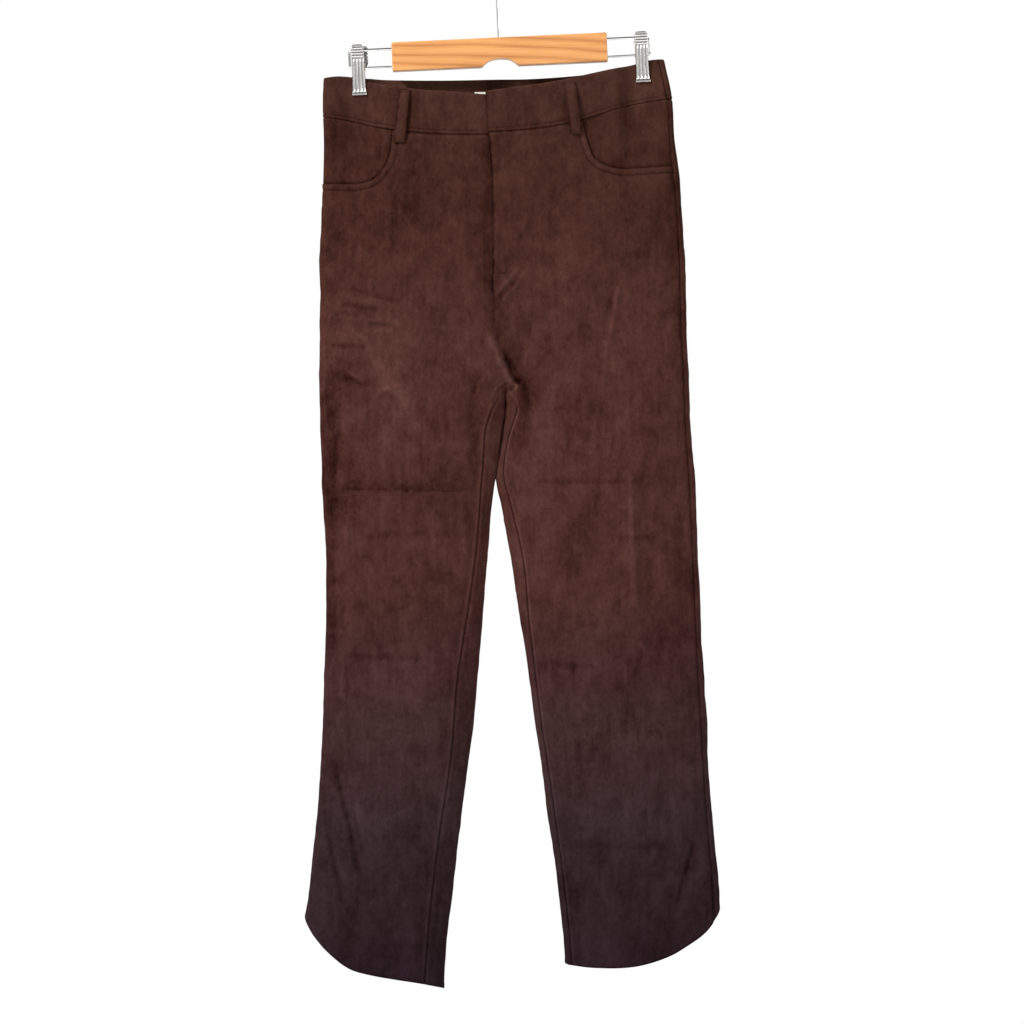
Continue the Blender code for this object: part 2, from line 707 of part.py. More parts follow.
def wire(name, points, thick, finish):
    """A bent wire through (x, z) points of the upright frame."""
    curve = bpy.data.curves.new(name, "CURVE")
    curve.dimensions = "3D"
    line = curve.splines.new("POLY")
    line.points.add(len(points) - 1)
    for spot, (x, z) in zip(line.points, points):
        spot.co = (x * MM, 0, z * MM, 1)
    curve.bevel_depth = thick / 2 * MM
    curve.bevel_resolution = 2
    curve.use_fill_caps = True
    made = bpy.data.objects.new(name, curve)
    GARMENT.objects.link(made)
    curve.materials.append(finish)
    curve.transform(TILTED)
    return made


half = BLOCK_LONG / 2
low_z = BLOCK_Z - BLOCK_HIGH / 2
block = box("hanger_block", PINE, (-half, -BLOCK_DEEP / 2, low_z), (half, BLOCK_DEEP / 2, low_z + BLOCK_HIGH))
soften = block.modifiers.new("soften", "BEVEL")
soften.width = 1.4 * MM
soften.segments = 2
NOTCH = (
    (-23, -3), (-20.5, 0), (-16, 4), (-11.5, 7), (-6, 8.3), (0, 8.8),
    (6, 8.3), (11.5, 7), (16, 4), (20.5, 0), (23, -3),
)
notch = prism("notch_cutter", PINE, [(x, low_z + z) for x, z in NOTCH], "y", -20, 20, TOOLS)
combine(block, notch, "DIFFERENCE")
bend = 4.0
for side, name in ((LEFT, "left"), (RIGHT, "right")):
    path = [(side * (half - WIRE_IN), WIRE_Z + WIRES_APART / 2)]
    bend_x, bend_z = WIRE_END - bend, WIRES_APART / 2 - bend
    path += [(side * x, z) for x, z in arc((bend_x, WIRE_Z + bend_z), bend, 90, 0, 5)]
    path += [(side * x, z) for x, z in arc((bend_x, WIRE_Z - bend_z), bend, 0, -90, 5)]
    path += [(side * (half - WIRE_IN), WIRE_Z - WIRES_APART / 2)]
    wire("wire_" + name, path, WIRE, STEEL)
    for up in (-1, 1):
        z = WIRE_Z + up * WIRES_APART / 2
        deep, proud = (side * (half - WIRE_IN - 1), 0, z), (side * (half + 5), 0, z)
        hole = rod(f"hole_{name}_{up}", PINE, deep, proud, WIRE / 2 + 0.15, 20, TOOLS)
        combine(block, hole, "DIFFERENCE")
top_z = BLOCK_Z + BLOCK_HIGH / 2
deep, proud = (0, 0, top_z - HOOK_IN - 1), (0, 0, top_z + 5)
hole = rod("hole_hook", PINE, deep, proud, HOOK_WIRE / 2 + 0.15, 20, TOOLS)
combine(block, hole, "DIFFERENCE")

ring = RAIL / 2 + HOOK_WIRE / 2
ring_z = -RAIL / 2
NECK_TURN = -55  # where round the ring the neck joins it
join_x, join_z = arc((0, ring_z), ring, NECK_TURN, NECK_TURN, 1)[0]
lean = (-math.sin(math.radians(NECK_TURN)), math.cos(math.radians(NECK_TURN)))
neck = [(0, -54), (0, -46), (join_x - 7 * lean[0], join_z - 7 * lean[1]), (join_x, join_z)]
path = [(0, top_z - HOOK_IN)]
for i in range(7):
    t = i / 6
    weights = ((1 - t) ** 3, 3 * t * (1 - t) ** 2, 3 * t * t * (1 - t), t**3)
    path.append(tuple(sum(w * p[k] for w, p in zip(weights, neck)) for k in (0, 1)))
path += arc((0, ring_z), ring, NECK_TURN, 205, 18)[1:]
wire("hook", path, HOOK_WIRE, STEEL)

# Clips: two sprung plates with ribbed levers above and fluted jaws below, about a pin between two ears.
CLIP_ROWS = (
    # rise, gap, half_wide, shape
    (15.3, 10.6, 5.0, "plain"),
    (14.2, 10.5, 6.6, "plain"),
    (12.6, 10.3, 7.0, "plain"),
    (11.4, 10.1, 7.0, "rib"),
    (10.1, 9.9, 7.0, "plain"),
    (8.6, 9.6, 7.0, "rib"),
    (7.1, 9.3, 7.0, "plain"),
    (5.6, 9.0, 7.0, "rib"),
    (4.1, 8.7, 7.0, "plain"),
    (2.6, 8.4, 7.0, "rib"),
    (1.0, 8.1, 7.0, "plain"),
    (-1.5, 7.7, 7.0, "flute"),
    (-12, 6.3, 7.1, "flute"),
    (-24, 4.6, 7.4, "flute"),
    (-34, 3.2, 7.8, "flute"),
    (-36.5, 3.2, 8.0, "plain"),
    (-38.3, 3.4, 8.3, "rib"),
    (-39.5, 3.9, 8.3, "plain"),
)
FLUTES = 8  # columns across a plate: every other line is a ridge
PLATE, RIDGE = 0.8, 0.6
BACK_SKEW = {LEFT: 4.0, RIGHT: 0.0}  # the left clip's back lever stands aside


def clip_gap(rise):
    return float(np.interp(-rise, [-r for r, _, _, _ in CLIP_ROWS], [g for _, g, _, _ in CLIP_ROWS]))


for side, name in ((LEFT, "left"), (RIGHT, "right")):
    x0 = side * CLIP_AT
    plates = []
    for face in (FRONT, BACK):
        outer, inner = [], []
        for rise, gap, wide, shape in CLIP_ROWS:
            aside = BACK_SKEW[side] * ease(-14, -2, rise) if face == BACK else 0.0
            outer.append([])
            inner.append([])
            for i in range(FLUTES + 1):
                x = x0 + aside + wide * (2 * i / FLUTES - 1)
                ridge = RIDGE if shape == "rib" or (shape == "flute" and i % 2) else 0.0
                outer[-1].append(np.array((x, face * (gap + PLATE + ridge), WIRE_Z + rise)))
                inner[-1].append(np.array((x, face * gap, WIRE_Z + rise)))
        plate_name = "clip_" + name if face == FRONT else f"clip_{name}_back"
        plates.append(wall(plate_name, outer, inner, STEEL))
    front_plate, back_plate = plates
    reach = WIRES_APART / 2 - WIRE / 2 - 0.25
    ear_profile = [
        (-clip_gap(reach) - 0.4, WIRE_Z + reach), (clip_gap(reach) + 0.4, WIRE_Z + reach),
        (clip_gap(-reach) + 0.4, WIRE_Z - reach), (-clip_gap(-reach) - 0.4, WIRE_Z - reach),
    ]
    pieces = [back_plate]
    for end in (-1, 1):
        low, high = sorted((x0 + end * 5.2, x0 + end * 6.0))
        pieces.append(prism(f"ear_{name}_{end}", STEEL, ear_profile, "x", low, high, TOOLS))
    pieces.append(rod(f"pin_{name}", STEEL, (x0 - 5.6, 0, WIRE_Z), (x0 + 5.6, 0, WIRE_Z), 2.6, 16, TOOLS))
    GARMENT.objects.unlink(back_plate)
    TOOLS.objects.link(back_plate)
    for piece in pieces:
        combine(front_plate, piece, "UNION")
        tilted(piece)
    tilted(front_plate)

for cutter in [o for o in TOOLS.objects if o.name.startswith(("notch", "hole"))] + [block]:
    tilted(cutter)
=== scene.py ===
"""Looks of slim suede trousers that hang by two spring clips from a wood and wire clip hanger.

Sizes are in millimetres. A "drop" is how far a level lies below the hook's inner seat, which is the origin.
The front faces -Y. A place round the body or a leg is a side, a face and a share b, from 0 at the outer fold
to 1 at the middle of the body or the inner fold of the leg. These work on whole arrays of places.
"""

import math

import bmesh
import bpy
import numpy as np
from mathutils import Matrix, Vector
from mathutils.bvhtree import BVHTree
from mathutils.kdtree import KDTree


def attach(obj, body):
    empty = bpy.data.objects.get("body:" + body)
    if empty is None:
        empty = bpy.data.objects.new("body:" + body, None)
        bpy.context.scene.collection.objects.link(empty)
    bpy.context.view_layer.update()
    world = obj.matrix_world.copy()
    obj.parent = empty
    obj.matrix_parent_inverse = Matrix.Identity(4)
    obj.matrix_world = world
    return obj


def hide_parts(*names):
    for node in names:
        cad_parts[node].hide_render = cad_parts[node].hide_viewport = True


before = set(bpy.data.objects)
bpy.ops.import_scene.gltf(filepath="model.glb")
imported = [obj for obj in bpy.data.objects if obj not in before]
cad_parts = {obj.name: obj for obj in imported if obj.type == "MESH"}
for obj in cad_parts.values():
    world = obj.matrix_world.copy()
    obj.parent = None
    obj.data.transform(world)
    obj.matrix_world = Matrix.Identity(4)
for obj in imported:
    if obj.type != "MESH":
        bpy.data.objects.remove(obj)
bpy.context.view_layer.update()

MM = 0.001
FRONT, BACK = -1, 1
LEFT, RIGHT = -1, 1

CLOTH = 1.6  # thickness; at the seams the rounded edges of the panels meet
BAND = 2.5  # the waistband's thickness
TOUCH = 0.7  # how far the soft inner folds press into each other below the crotch
TOUCH_FADE = (590, 560)  # below the first of these drops they are apart
TILT = math.radians(2.65)  # how far the hanger leans
CROTCH = 483.0
JOIN = 382.0  # from here to the crotch the middle of the body turns into the legs' inner folds
SPREAD = 355.0  # and from here the rest of it turns into the two legs
LEG_TURN = 0.78  # the share from which a body's section turns in between the legs
ROUND = 0.9  # how round a section is
THIN = 10.0  # folds fade where the cloth is nearer than this to the middle plane
HIP = 272.0  # below this the rows of points are level

SECTIONS = (
    # drop, left_out, right_out, left_in, right_in, front, back
    (117, -187, 185.5, -12, -12, 24, 14),
    (162, -189, 195, -10, -10, 24, 16),
    (206, -188, 198, -7, -7, 25, 20),
    (250, -189.5, 202.5, -3.5, -3.5, 26, 25),
    (294, -191.5, 206.5, -2.5, -2.5, 27, 30),
    (338, -192.5, 208.5, -2.5, -2.5, 27, 33),
    (382, -192.5, 210, -1.5, -1.5, 27, 33.5),
    (426, -192.5, 211.5, 3, 3, 26.5, 33),
    (459, -192.5, 213, 9, 9, 26, 31.5),
    (483, -192.5, 213.5, 11.5, 11.5, 25, 30),
    (503, -192.5, 214.5, 11.5, 11.7, 24, 29),
    (520, -192, 215.5, 9, 9.4, 23.5, 28),
    (547, -191, 217, 5, 5.6, 23, 27),
    (575, -189.5, 219, 0.4, 1.4, 22, 26),
    (613, -188, 221, -3.5, 7.5, 21, 25),
    (668, -186.5, 223.5, -8, 18, 20, 23),
    (734, -186, 226.5, -13.5, 28, 19, 21.5),
    (800, -187.5, 229.5, -20, 38, 18, 20),
    (855, -190, 233, -24.5, 45, 17.5, 19),
    (910, -193, 236, -31.5, 53, 17, 18),
    (965, -197, 240, -39.5, 60.5, 17, 18),
    (1020, -203, 244.5, -46, 68, 17, 18),
    (1064, -209, 247, -50.5, 73, 17.5, 18),
    (1108, -213.5, 248.5, -54, 77, 18, 18.5),
    (1141, -216, 249.5, -56.5, 80, 18, 18.5),
)
HEM = (
    # share, left, right
    (0, 1058, 1049),
    (0.1, 1069, 1061),
    (0.2, 1084, 1077),
    (0.3, 1101, 1090),
    (0.4, 1116, 1103),
    (0.5, 1123, 1111.5),
    (0.6, 1127.5, 1115),
    (0.7, 1131, 1115),
    (0.85, 1136, 1113),
    (1, 1139, 1111.5),
)
BACK_HEM_UP = 3.0  # how much shorter the back is at the hem
HEM_TURN = 0.03  # the share over which the hem turns round a fold
TOP_FRONT_LEFT = (
    (-188, 137.5), (-170, 136), (-149, 138.5), (-137, 142.5), (-105, 149), (-82, 152), (-50, 154.5), (-9, 158)
)
TOP_FRONT_RIGHT = (
    (-8, 154), (16, 150.5), (38, 147.5), (60, 144), (83, 139.5), (105, 134.5), (127, 129.5), (149, 125),
    (162, 121.5), (176, 118), (187, 117),
)
TOP_BACK = (
    (-188, 137.5), (-170, 136), (-149, 137.5), (-137, 138.3), (-90, 139.2), (-45, 139), (0, 138), (30, 137.7),
    (65, 136), (91, 134), (110, 132), (126, 129), (145, 125.5), (162, 121.5), (176, 118), (187, 117),
)
SEAM_FRONT_LEFT = ((-188, 181.5), (-163, 185), (-130, 192.5), (-96, 198), (-50, 201.5), (-7, 201.5))
SEAM_FRONT_RIGHT = (
    (-6, 199), (38, 196), (79, 189.5), (104.5, 182.5), (148.5, 168.5), (170.5, 164), (195, 161)
)
BACK_BAND_DEEP = 44.0
WAIST_LEVEL, SEAM_LEVEL, MOUTH_LEVEL = 140.0, 190.0, 250.0  # about where these edges are

CLIP_AT = 156.0  # along the hanger
CLIP_X = (-149.5, 162.5)  # where the clips hold the leaning waist
PINCHED = 3.0  # half of the depth that a clip leaves
PINCH_FLAT, PINCH_WIDE = 9.5, 30.0  # beside a clip: where the waist starts to open, and where it is open
PINCH_DEEP, PINCH_FADE = 26.0, 150.0  # below the top edge: where the pinch starts to fade, and where it ends
WAIST_LOOP = 4.0  # how far the waist opens outside the clips
BOW_FRONT, BOW_BACK = 19.0, 7.0  # how much further it bows between the clips
CORNER = 24  # how squarely the waist ends at its sides

MOUTH_LEFT = (
    (-112, 195.5), (-114.5, 219), (-117.5, 229), (-122, 237.5), (-129, 246), (-138, 252), (-152, 255),
    (-168, 255), (-192, 254),
)
MOUTH_RIGHT = (
    (95.5, 185), (98, 197), (100.5, 206), (106.5, 223), (112.5, 229.5), (121, 234.5), (137, 238.5),
    (156, 238), (174, 236.5), (204, 234.5),
)
MOUTH_LAP = 10.0  # how far the pocket's cloth goes on behind the mouth
SIDE_SEAM = 6.0  # from the outer fold
INSEAM = (
    # drop, left, right: how far it lies from the inner fold
    (483, 0, 0),
    (490, 8, 8),
    (500, 14.5, 12.5),
    (515, 18, 11),
    (530, 19, 8),
    (547, 17.5, 7),
    (575, 14.5, 8.5),
    (613, 13, 11.5),
    (668, 13.5, 13),
    (740, 18, 9),
    (800, 21, 7),
    (900, 20, 7.5),
    (1020, 21, 7.5),
    (1141, 21, 7.5),
)
FOLDS = (
    # face, x, drop, to_x, to_drop, wide, high
    (FRONT, 4, 424, 21, 470, 9, -2.5),
    (FRONT, -177, 495, -176, 750, 9, -1.8),
    (FRONT, -95, 350, -60, 560, 16, 1.5),
    (FRONT, 148, 575, 151, 715, 10, 1.8),
    (FRONT, 130, 365, 112, 545, 12, -1.8),
    (FRONT, -172, 900, -150, 1010, 10, -1.8),
    (FRONT, 214, 975, 200, 1045, 10, -1.8),
    (FRONT, 60, 500, 110, 900, 14, 1.6),
    (BACK, -30, 430, -120, 330, 14, -2.2),
    (BACK, 45, 425, 125, 320, 14, -2.0),
    (BACK, -110, 560, -100, 850, 14, 1.8),
    (BACK, 110, 540, 135, 800, 14, 1.8),
    (BACK, -60, 520, -90, 640, 11, -1.8),
    (BACK, 190, 600, 200, 820, 11, -1.6),
)
FLY_STEP, FLY_WIDE, FLY_END = 0.8, 25.0, 354.0
FLY_FADE = 40.0  # how far below its end the lap fades
FLY_UNDER = 5.0  # how far the left front goes on under the right one

# Finer creases than the solids have. A long one is made of a few rows. "lean" makes one flank steeper.
CREASES = (
    # face, x, drop, to_x, to_drop, wide, high, lean
    (FRONT, -165, 589, -36, 592, 2.6, -0.45, 0.4),
    (FRONT, 50, 583, 160, 582, 2.6, -0.5, 0.4),
    (FRONT, -137, 643, -79, 640, 3.0, -0.5, 0.3),
    (FRONT, 131, 643, 177, 645, 3.0, -0.5, 0.3),
    (FRONT, 93, 663, 128, 661, 3.0, -0.4, 0.3),
    (FRONT, -160, 774, -85, 777, 3.4, -0.6, 0.3),
    (FRONT, 81, 784, 107, 785, 3.0, -0.5, 0.3),
    (FRONT, 85, 981, 195, 983, 4.0, -0.5, 0.2),
    (FRONT, 7, 379, 20, 366, 2.4, -0.9, 0.0),
    (FRONT, 20, 366, 31, 349, 2.4, -0.8, 0.0),
    (FRONT, 4, 374, 24, 350, 2.2, 0.8, 0.0),
    (FRONT, 3, 424, 12, 447, 3.2, -0.9, 0.3),
    (FRONT, 12, 447, 24, 472, 3.4, -1.3, 0.3),
    (FRONT, -4, 426, 6, 450, 4.5, 1.3, 0.0),
    (FRONT, 6, 450, 17, 473, 4.0, 2.0, 0.0),
    (FRONT, -6, 366, -1, 415, 6.0, -0.9, 0.0),
    (FRONT, -24, 470, -20, 545, 9.0, -1.3, 0.0),
    (FRONT, 34, 475, 30, 535, 8.0, -1.5, 0.0),
    (FRONT, 18, 470, 25, 478, 2.2, 1.0, 0.0),
    (FRONT, 25, 478, 18, 485, 2.0, 0.8, 0.0),
    (FRONT, 12, 380, 40, 340, 5.0, 0.7, 0.0),
    (FRONT, -84, 790, -73, 808, 3.0, 0.5, 0.0),
    (FRONT, -154, 372, -107, 386, 3.0, -1.1, 0.2),
    (FRONT, -165, 379, -132, 387, 3.5, 0.7, 0.0),
    (FRONT, -165, 388, -131, 394, 2.8, -1.0, 0.0),
    (FRONT, -168, 397, -153, 400, 2.6, -0.8, 0.0),
    (FRONT, -165, 403, -107, 408, 2.8, 0.7, 0.0),
    (FRONT, -135, 410, -117, 411, 2.8, -0.8, 0.0),
    (FRONT, -158, 414, -140, 427, 3.0, 0.9, 0.0),
    (FRONT, -131, 417, -115, 418, 2.8, 0.7, 0.0),
    (FRONT, -177, 433, -145, 435, 2.8, -1.3, 0.0),
    (FRONT, -170, 451, -137, 455, 4.0, -0.8, 0.0),
    (FRONT, -173, 466, -142, 477, 4.5, -1.2, 0.2),
    (FRONT, -155, 465, -145, 470, 3.0, 0.9, 0.0),
    (FRONT, -121, 481, -107, 478, 3.0, 0.7, 0.0),
    (FRONT, -121, 488, -105, 494, 3.5, -0.9, 0.0),
    (FRONT, 135, 371, 128, 417, 3.2, 1.2, 0.0),
    (FRONT, 122, 431, 116, 486, 3.4, 0.9, 0.0),
    (FRONT, 129, 376, 121, 424, 3.0, -0.9, 0.0),
    (FRONT, 116, 486, 106, 547, 4.5, 0.6, 0.0),
    (FRONT, 148, 580, 150, 640, 3.6, 0.9, 0.2),
    (FRONT, 150, 640, 152, 712, 4.2, 0.7, 0.2),
    (FRONT, 168, 590, 172, 700, 5.0, -0.6, 0.0),
    (FRONT, -174, 904, -162, 950, 4.0, -0.9, 0.3),
    (FRONT, -162, 950, -152, 1006, 4.0, -1.0, 0.3),
    (FRONT, -184, 969, -169, 1040, 4.0, -0.8, 0.3),
    (FRONT, -150, 930, -140, 990, 5.0, 0.7, 0.0),
    (FRONT, 217, 982, 201, 1042, 4.0, -0.9, 0.3),
    (FRONT, 196, 930, 206, 985, 5.0, 0.6, 0.0),
    (FRONT, 120, 1010, 140, 1080, 6.0, 0.6, 0.0),
    (FRONT, -110, 1000, -90, 1080, 6.0, 0.6, 0.0),
    (BACK, -25, 445, -80, 400, 5.0, -1.0, 0.3),
    (BACK, -30, 470, -120, 430, 5.0, -0.9, 0.3),
    (BACK, 40, 440, 100, 396, 5.0, -1.1, 0.3),
    (BACK, 38, 468, 130, 425, 5.0, -0.8, 0.3),
    (BACK, -150, 588, -60, 592, 2.8, -0.6, 0.3),
    (BACK, 60, 584, 170, 581, 2.8, -0.6, 0.3),
    (BACK, -145, 772, -90, 777, 3.2, -0.5, 0.3),
    (BACK, 95, 779, 160, 775, 3.2, -0.5, 0.3),
    (BACK, -120, 620, -112, 700, 4.5, 0.7, 0.1),
    (BACK, 126, 610, 133, 720, 4.5, 0.8, 0.1),
    (BACK, -95, 860, -84, 960, 5.0, -0.7, 0.2),
    (BACK, 150, 850, 160, 940, 5.0, -0.7, 0.2),
    (BACK, -130, 300, -80, 330, 6.0, -0.6, 0.2),
    (BACK, 90, 318, 150, 290, 6.0, -0.6, 0.2),
    (BACK, -150, 980, -140, 1060, 4.5, -0.7, 0.2),
    (BACK, 205, 975, 196, 1050, 4.5, -0.7, 0.2),
)

# Painted shade and painted highlights near an edge: shade in a seam's groove and beside a lapped edge,
# highlights on the ridges beside them.
EDGE_LIGHT_AND_SHADE = {
    # edge: ((distance, wide, tone), ...)
    "side": ((0.0, 1.5, -0.3),),
    "inseam": ((0.0, 1.1, -0.22), (8.0, 5.0, -0.06)),
    "middle": ((0.0, 1.5, -0.34),),
    "waist": ((0.0, 1.3, -0.42), (3.0, 1.4, 0.06)),
    "mouth": ((0.0, 0.8, -0.25), (3.0, 1.6, 0.1), (7.0, 1.3, -0.26)),
    "hem": ((0.0, 1.8, -0.3),),
    "folded": ((0.0, 1.5, 0.34),),
    "closing_left": ((0.0, 1.5, -0.55), (0.0, 8.0, -0.14)),
    "closing_right": ((0.0, 1.5, -0.55), (3.6, 1.8, 0.12)),
}
# What an edge does to the cloth near it: a swell or dent a little way in.
EDGE_FORMS = {
    # edge: ((distance, wide, high), ...)
    "side": ((0.0, 1.8, -0.5), (4.5, 2.2, 0.3)),
    "inseam": ((0.0, 1.3, -0.4), (2.6, 1.5, 0.6), (7.0, 2.4, -0.25)),
    "middle": ((0.0, 1.8, -0.5), (4.5, 2.2, 0.25)),
    "waist": ((0.0, 1.6, -0.35), (4.0, 2.0, 0.2)),
    "mouth": ((2.6, 2.6, 0.5), (7.0, 1.3, -0.45)),
    "hem": ((3.0, 3.5, 0.35),),
    "folded": ((0.0, 1.8, 0.5),),
}


def smooth(xs, ys, x):
    """A soft curve through a table's values."""
    slopes = np.gradient(ys, xs)
    x = np.asarray(x, float)
    i = np.clip(np.searchsorted(xs, x) - 1, 0, len(xs) - 2)
    span = xs[i + 1] - xs[i]
    t = np.clip((x - xs[i]) / span, 0.0, 1.0)
    rise = slopes[i] * span * (t**3 - 2 * t**2 + t) + slopes[i + 1] * span * (t**3 - t**2)
    return ys[i] * (2 * t**3 - 3 * t**2 + 1) + ys[i + 1] * (3 * t**2 - 2 * t**3) + rise


def bent(points, x):
    """A soft curve through a short table of (x, value)."""
    xs, ys = np.array(points, float).T
    return smooth(xs, ys, x)


def along(points, x):
    """Straight lines through a short table of (x, value)."""
    xs, ys = zip(*sorted(points))
    return np.interp(x, xs, ys)


def ease(low, high, x):
    """0 before low, 1 past high, with a soft rise between."""
    t = np.clip((np.asarray(x, float) - low) / (high - low), 0.0, 1.0)
    return t * t * (3 - 2 * t)


def mix(a, b, t):
    return a + (b - a) * t


def bell(gap, wide, at=0.0):
    """1 at one distance, and soft to both sides."""
    return np.exp(-(((gap - at) / wide) ** 2))


SECTION_COLUMNS = np.array(SECTIONS, float).T
HEM_COLUMNS = np.array(HEM, float).T
INSEAM_COLUMNS = np.array(INSEAM, float).T


def section(drop):
    """Left_out, right_out, left_in, right_in, front and back at a drop."""
    return [smooth(SECTION_COLUMNS[0], column, drop) for column in SECTION_COLUMNS[1:]]


def folds_of(side, drop):
    """x of a side's outer and inner fold; above the crotch the inner one is the body's middle."""
    left_out, right_out, left_in, right_in, _, _ = section(drop)
    left = np.asarray(side) == LEFT
    touch = TOUCH * ease(CROTCH, CROTCH + 8, drop) * ease(*TOUCH_FADE, drop)
    return np.where(left, left_out, right_out), np.where(left, left_in + touch, right_in - touch)


def top_edge(side, face, x):
    """The waistband's upper edge."""
    front = np.where(np.asarray(side) == LEFT, bent(TOP_FRONT_LEFT, x), bent(TOP_FRONT_RIGHT, x))
    return np.where(np.asarray(face) == BACK, bent(TOP_BACK, x), front)


def split(b, drop):
    """0 where the section is the body's, 1 where it is a leg's."""
    under = np.clip((drop - JOIN) / (CROTCH - JOIN), 0.0, 1.0)
    turned = 1 - np.sqrt(1 - under * under)
    body = mix(ease(SPREAD, CROTCH, drop), turned, ease(LEG_TURN, 1.0, b))
    return np.where(drop >= CROTCH, 1.0, body)


def crease(x, drop, x0, d0, x1, d1, wide, high, lean):
    """A soft trough or ridge along a line, steeper on one flank."""
    long = math.hypot(x1 - x0, d1 - d0)
    t = ((x - x0) * (x1 - x0) + (drop - d0) * (d1 - d0)) / long**2
    t = np.clip(t, 0.0, 1.0)
    gap = np.hypot(x - mix(x0, x1, t), drop - mix(d0, d1, t))
    flank = np.sign((x - x0) * (d1 - d0) - (drop - d0) * (x1 - x0))
    return high * bell(gap, wide * (1 + lean * flank))


def relief(face, x, drop):
    """The large folds, which the solids have too."""
    total = np.zeros(np.broadcast(x, drop).shape)
    for at, x0, d0, x1, d1, wide, high in FOLDS:
        total += np.where(face == at, crease(x, drop, x0, d0, x1, d1, wide, high, 0.0), 0.0)
    return total


def skin(side, face, b, drop, lapped=True):
    """Points of the cloth's outer face."""
    side, face, b, drop = np.broadcast_arrays(side, face, np.asarray(b, float), np.asarray(drop, float))
    face = np.where(b < 0, -face, face)
    b = np.abs(b)
    low = drop >= CROTCH - 1e-6
    over = b > 1
    face = np.where(over & low, -face, face)
    b = np.where(over, np.where(low, 2 - b, 1.0), b)
    outer, inner = folds_of(side, drop)
    depths = section(drop)[4:]
    deep = np.where(face == FRONT, depths[0], depths[1])
    leg = split(b, drop)
    turn = np.cos(np.pi * b / 2)
    on_leg = (outer + inner) / 2 + (outer - inner) / 2 * np.cos(np.pi * b)
    x = mix(inner + (outer - inner) * turn, on_leg, leg)
    body_y = deep * np.maximum(np.sin(np.pi * b / 2), 0.0) ** ROUND
    leg_y = deep * np.maximum(np.sin(np.pi * b), 0.0) ** ROUND
    y = mix(body_y, leg_y, leg)
    below = drop - top_edge(side, face, x)
    u = (x - (CLIP_X[0] + CLIP_X[1]) / 2) / ((CLIP_X[1] - CLIP_X[0]) / 2)
    off = np.minimum(np.abs(x - CLIP_X[0]), np.abs(x - CLIP_X[1]))
    bow = np.where(face == FRONT, BOW_FRONT, BOW_BACK)
    open_y = WAIST_LOOP + bow * np.maximum(1 - u * u, 0.0)
    cap = np.sqrt(np.maximum(1 - turn**CORNER, 0.0))
    waist_y = (PINCHED + open_y * ease(PINCH_FLAT, PINCH_WIDE, off)) * cap
    y = np.where(below < PINCH_FADE, mix(waist_y, y, ease(PINCH_DEEP, PINCH_FADE, below)), y)
    y = y + relief(face, x, drop) * np.minimum(y / THIN, 1.0)
    lap = FLY_STEP * np.exp(-np.abs(x - inner) / FLY_WIDE) * (1 - ease(FLY_END, FLY_END + FLY_FADE, drop))
    lap = np.where((face == FRONT) & (drop < FLY_END + FLY_FADE), lap, 0.0) * (1.0 if lapped else 0.0)
    y = y + side * lap * np.minimum(y / THIN, 1.0)
    return np.stack((x, face * y, -drop), axis=-1)


def unit(v):
    return v / np.maximum(np.linalg.norm(v, axis=-1, keepdims=True), 1e-12)


def outward(side, face, b, drop):
    """The cloth's outward direction above the crotch."""
    b = np.minimum(b, 0.99)
    round_it = skin(side, face, b + 0.008, drop) - skin(side, face, b - 0.008, drop)
    down = skin(side, face, b, drop + 1.5) - skin(side, face, b, drop - 1.5)
    return unit(np.cross(down, round_it) * (np.asarray(side) * face)[..., None])


def share_at(side, x, drop):
    """The share that has this x."""
    outer, inner = folds_of(side, drop)
    turn = np.clip((x - inner) / (outer - inner), -1.0, 1.0)
    leg = np.arccos(np.clip(2 * turn - 1, -1.0, 1.0)) / np.pi
    return np.where(np.asarray(drop) >= CROTCH, leg, np.arccos(turn) * 2 / np.pi)


def side_share(side, face, drop):
    """Where a panel ends at the side seam: below 0 where the seam lies on the other face."""
    outer, inner = folds_of(side, drop)
    width = np.abs(outer - inner)
    leg = split(0.1, drop)
    body_b = np.arccos(1 - SIDE_SEAM / width) * 2 / np.pi
    leg_b = np.arccos(1 - 2 * SIDE_SEAM / width) / np.pi
    return mix(body_b, leg_b, leg) * (1 if face == side * FRONT else -1)


def inseam_share(side, face, drop):
    """Where a panel ends at the inseam: over 1 where the seam lies on the other face."""
    outer, inner = folds_of(side, drop)
    away = smooth(INSEAM_COLUMNS[0], INSEAM_COLUMNS[1 if side == LEFT else 2], drop)
    b = np.arccos(np.clip(2 * np.maximum(away, 0.0) / np.abs(outer - inner) - 1, -1, 1)) / np.pi
    b = b if face == FRONT else 2 - b
    return np.where(drop < CROTCH - 1e-6, 1.0, b)


def hem_drop(side, face, b):
    """The leg's lower edge."""
    face = np.where(b < 0, -face, face)
    b = np.abs(b)
    face = np.where(b > 1, -face, face)
    b = np.where(b > 1, 2 - b, b)
    edge = smooth(HEM_COLUMNS[0], HEM_COLUMNS[1 if side == LEFT else 2], np.hypot(b, HEM_TURN))
    return edge - np.where(face == BACK, BACK_HEM_UP * np.sin(np.pi * b), 0.0)


def seam_drop(side, face, x):
    """The waistband's lower seam."""
    front = np.where(np.asarray(side) == LEFT, bent(SEAM_FRONT_LEFT, x), bent(SEAM_FRONT_RIGHT, x))
    return np.where(np.asarray(face) == BACK, top_edge(side, face, x) + BACK_BAND_DEEP, front)


def seam_at(side, face, b):
    """The drop of the waistband's lower seam at a share."""
    drop = np.full(np.shape(b), SEAM_LEVEL)
    for _ in range(4):
        drop = seam_drop(side, face, skin(side, face, b, drop)[..., 0])
    return drop


def mouth_at(side, mouth, b):
    """The drop of a pocket mouth at a share."""
    drop = np.full(np.shape(b), MOUTH_LEVEL)
    for _ in range(4):
        drop = along(mouth, skin(side, FRONT, b, drop)[..., 0])
    return drop


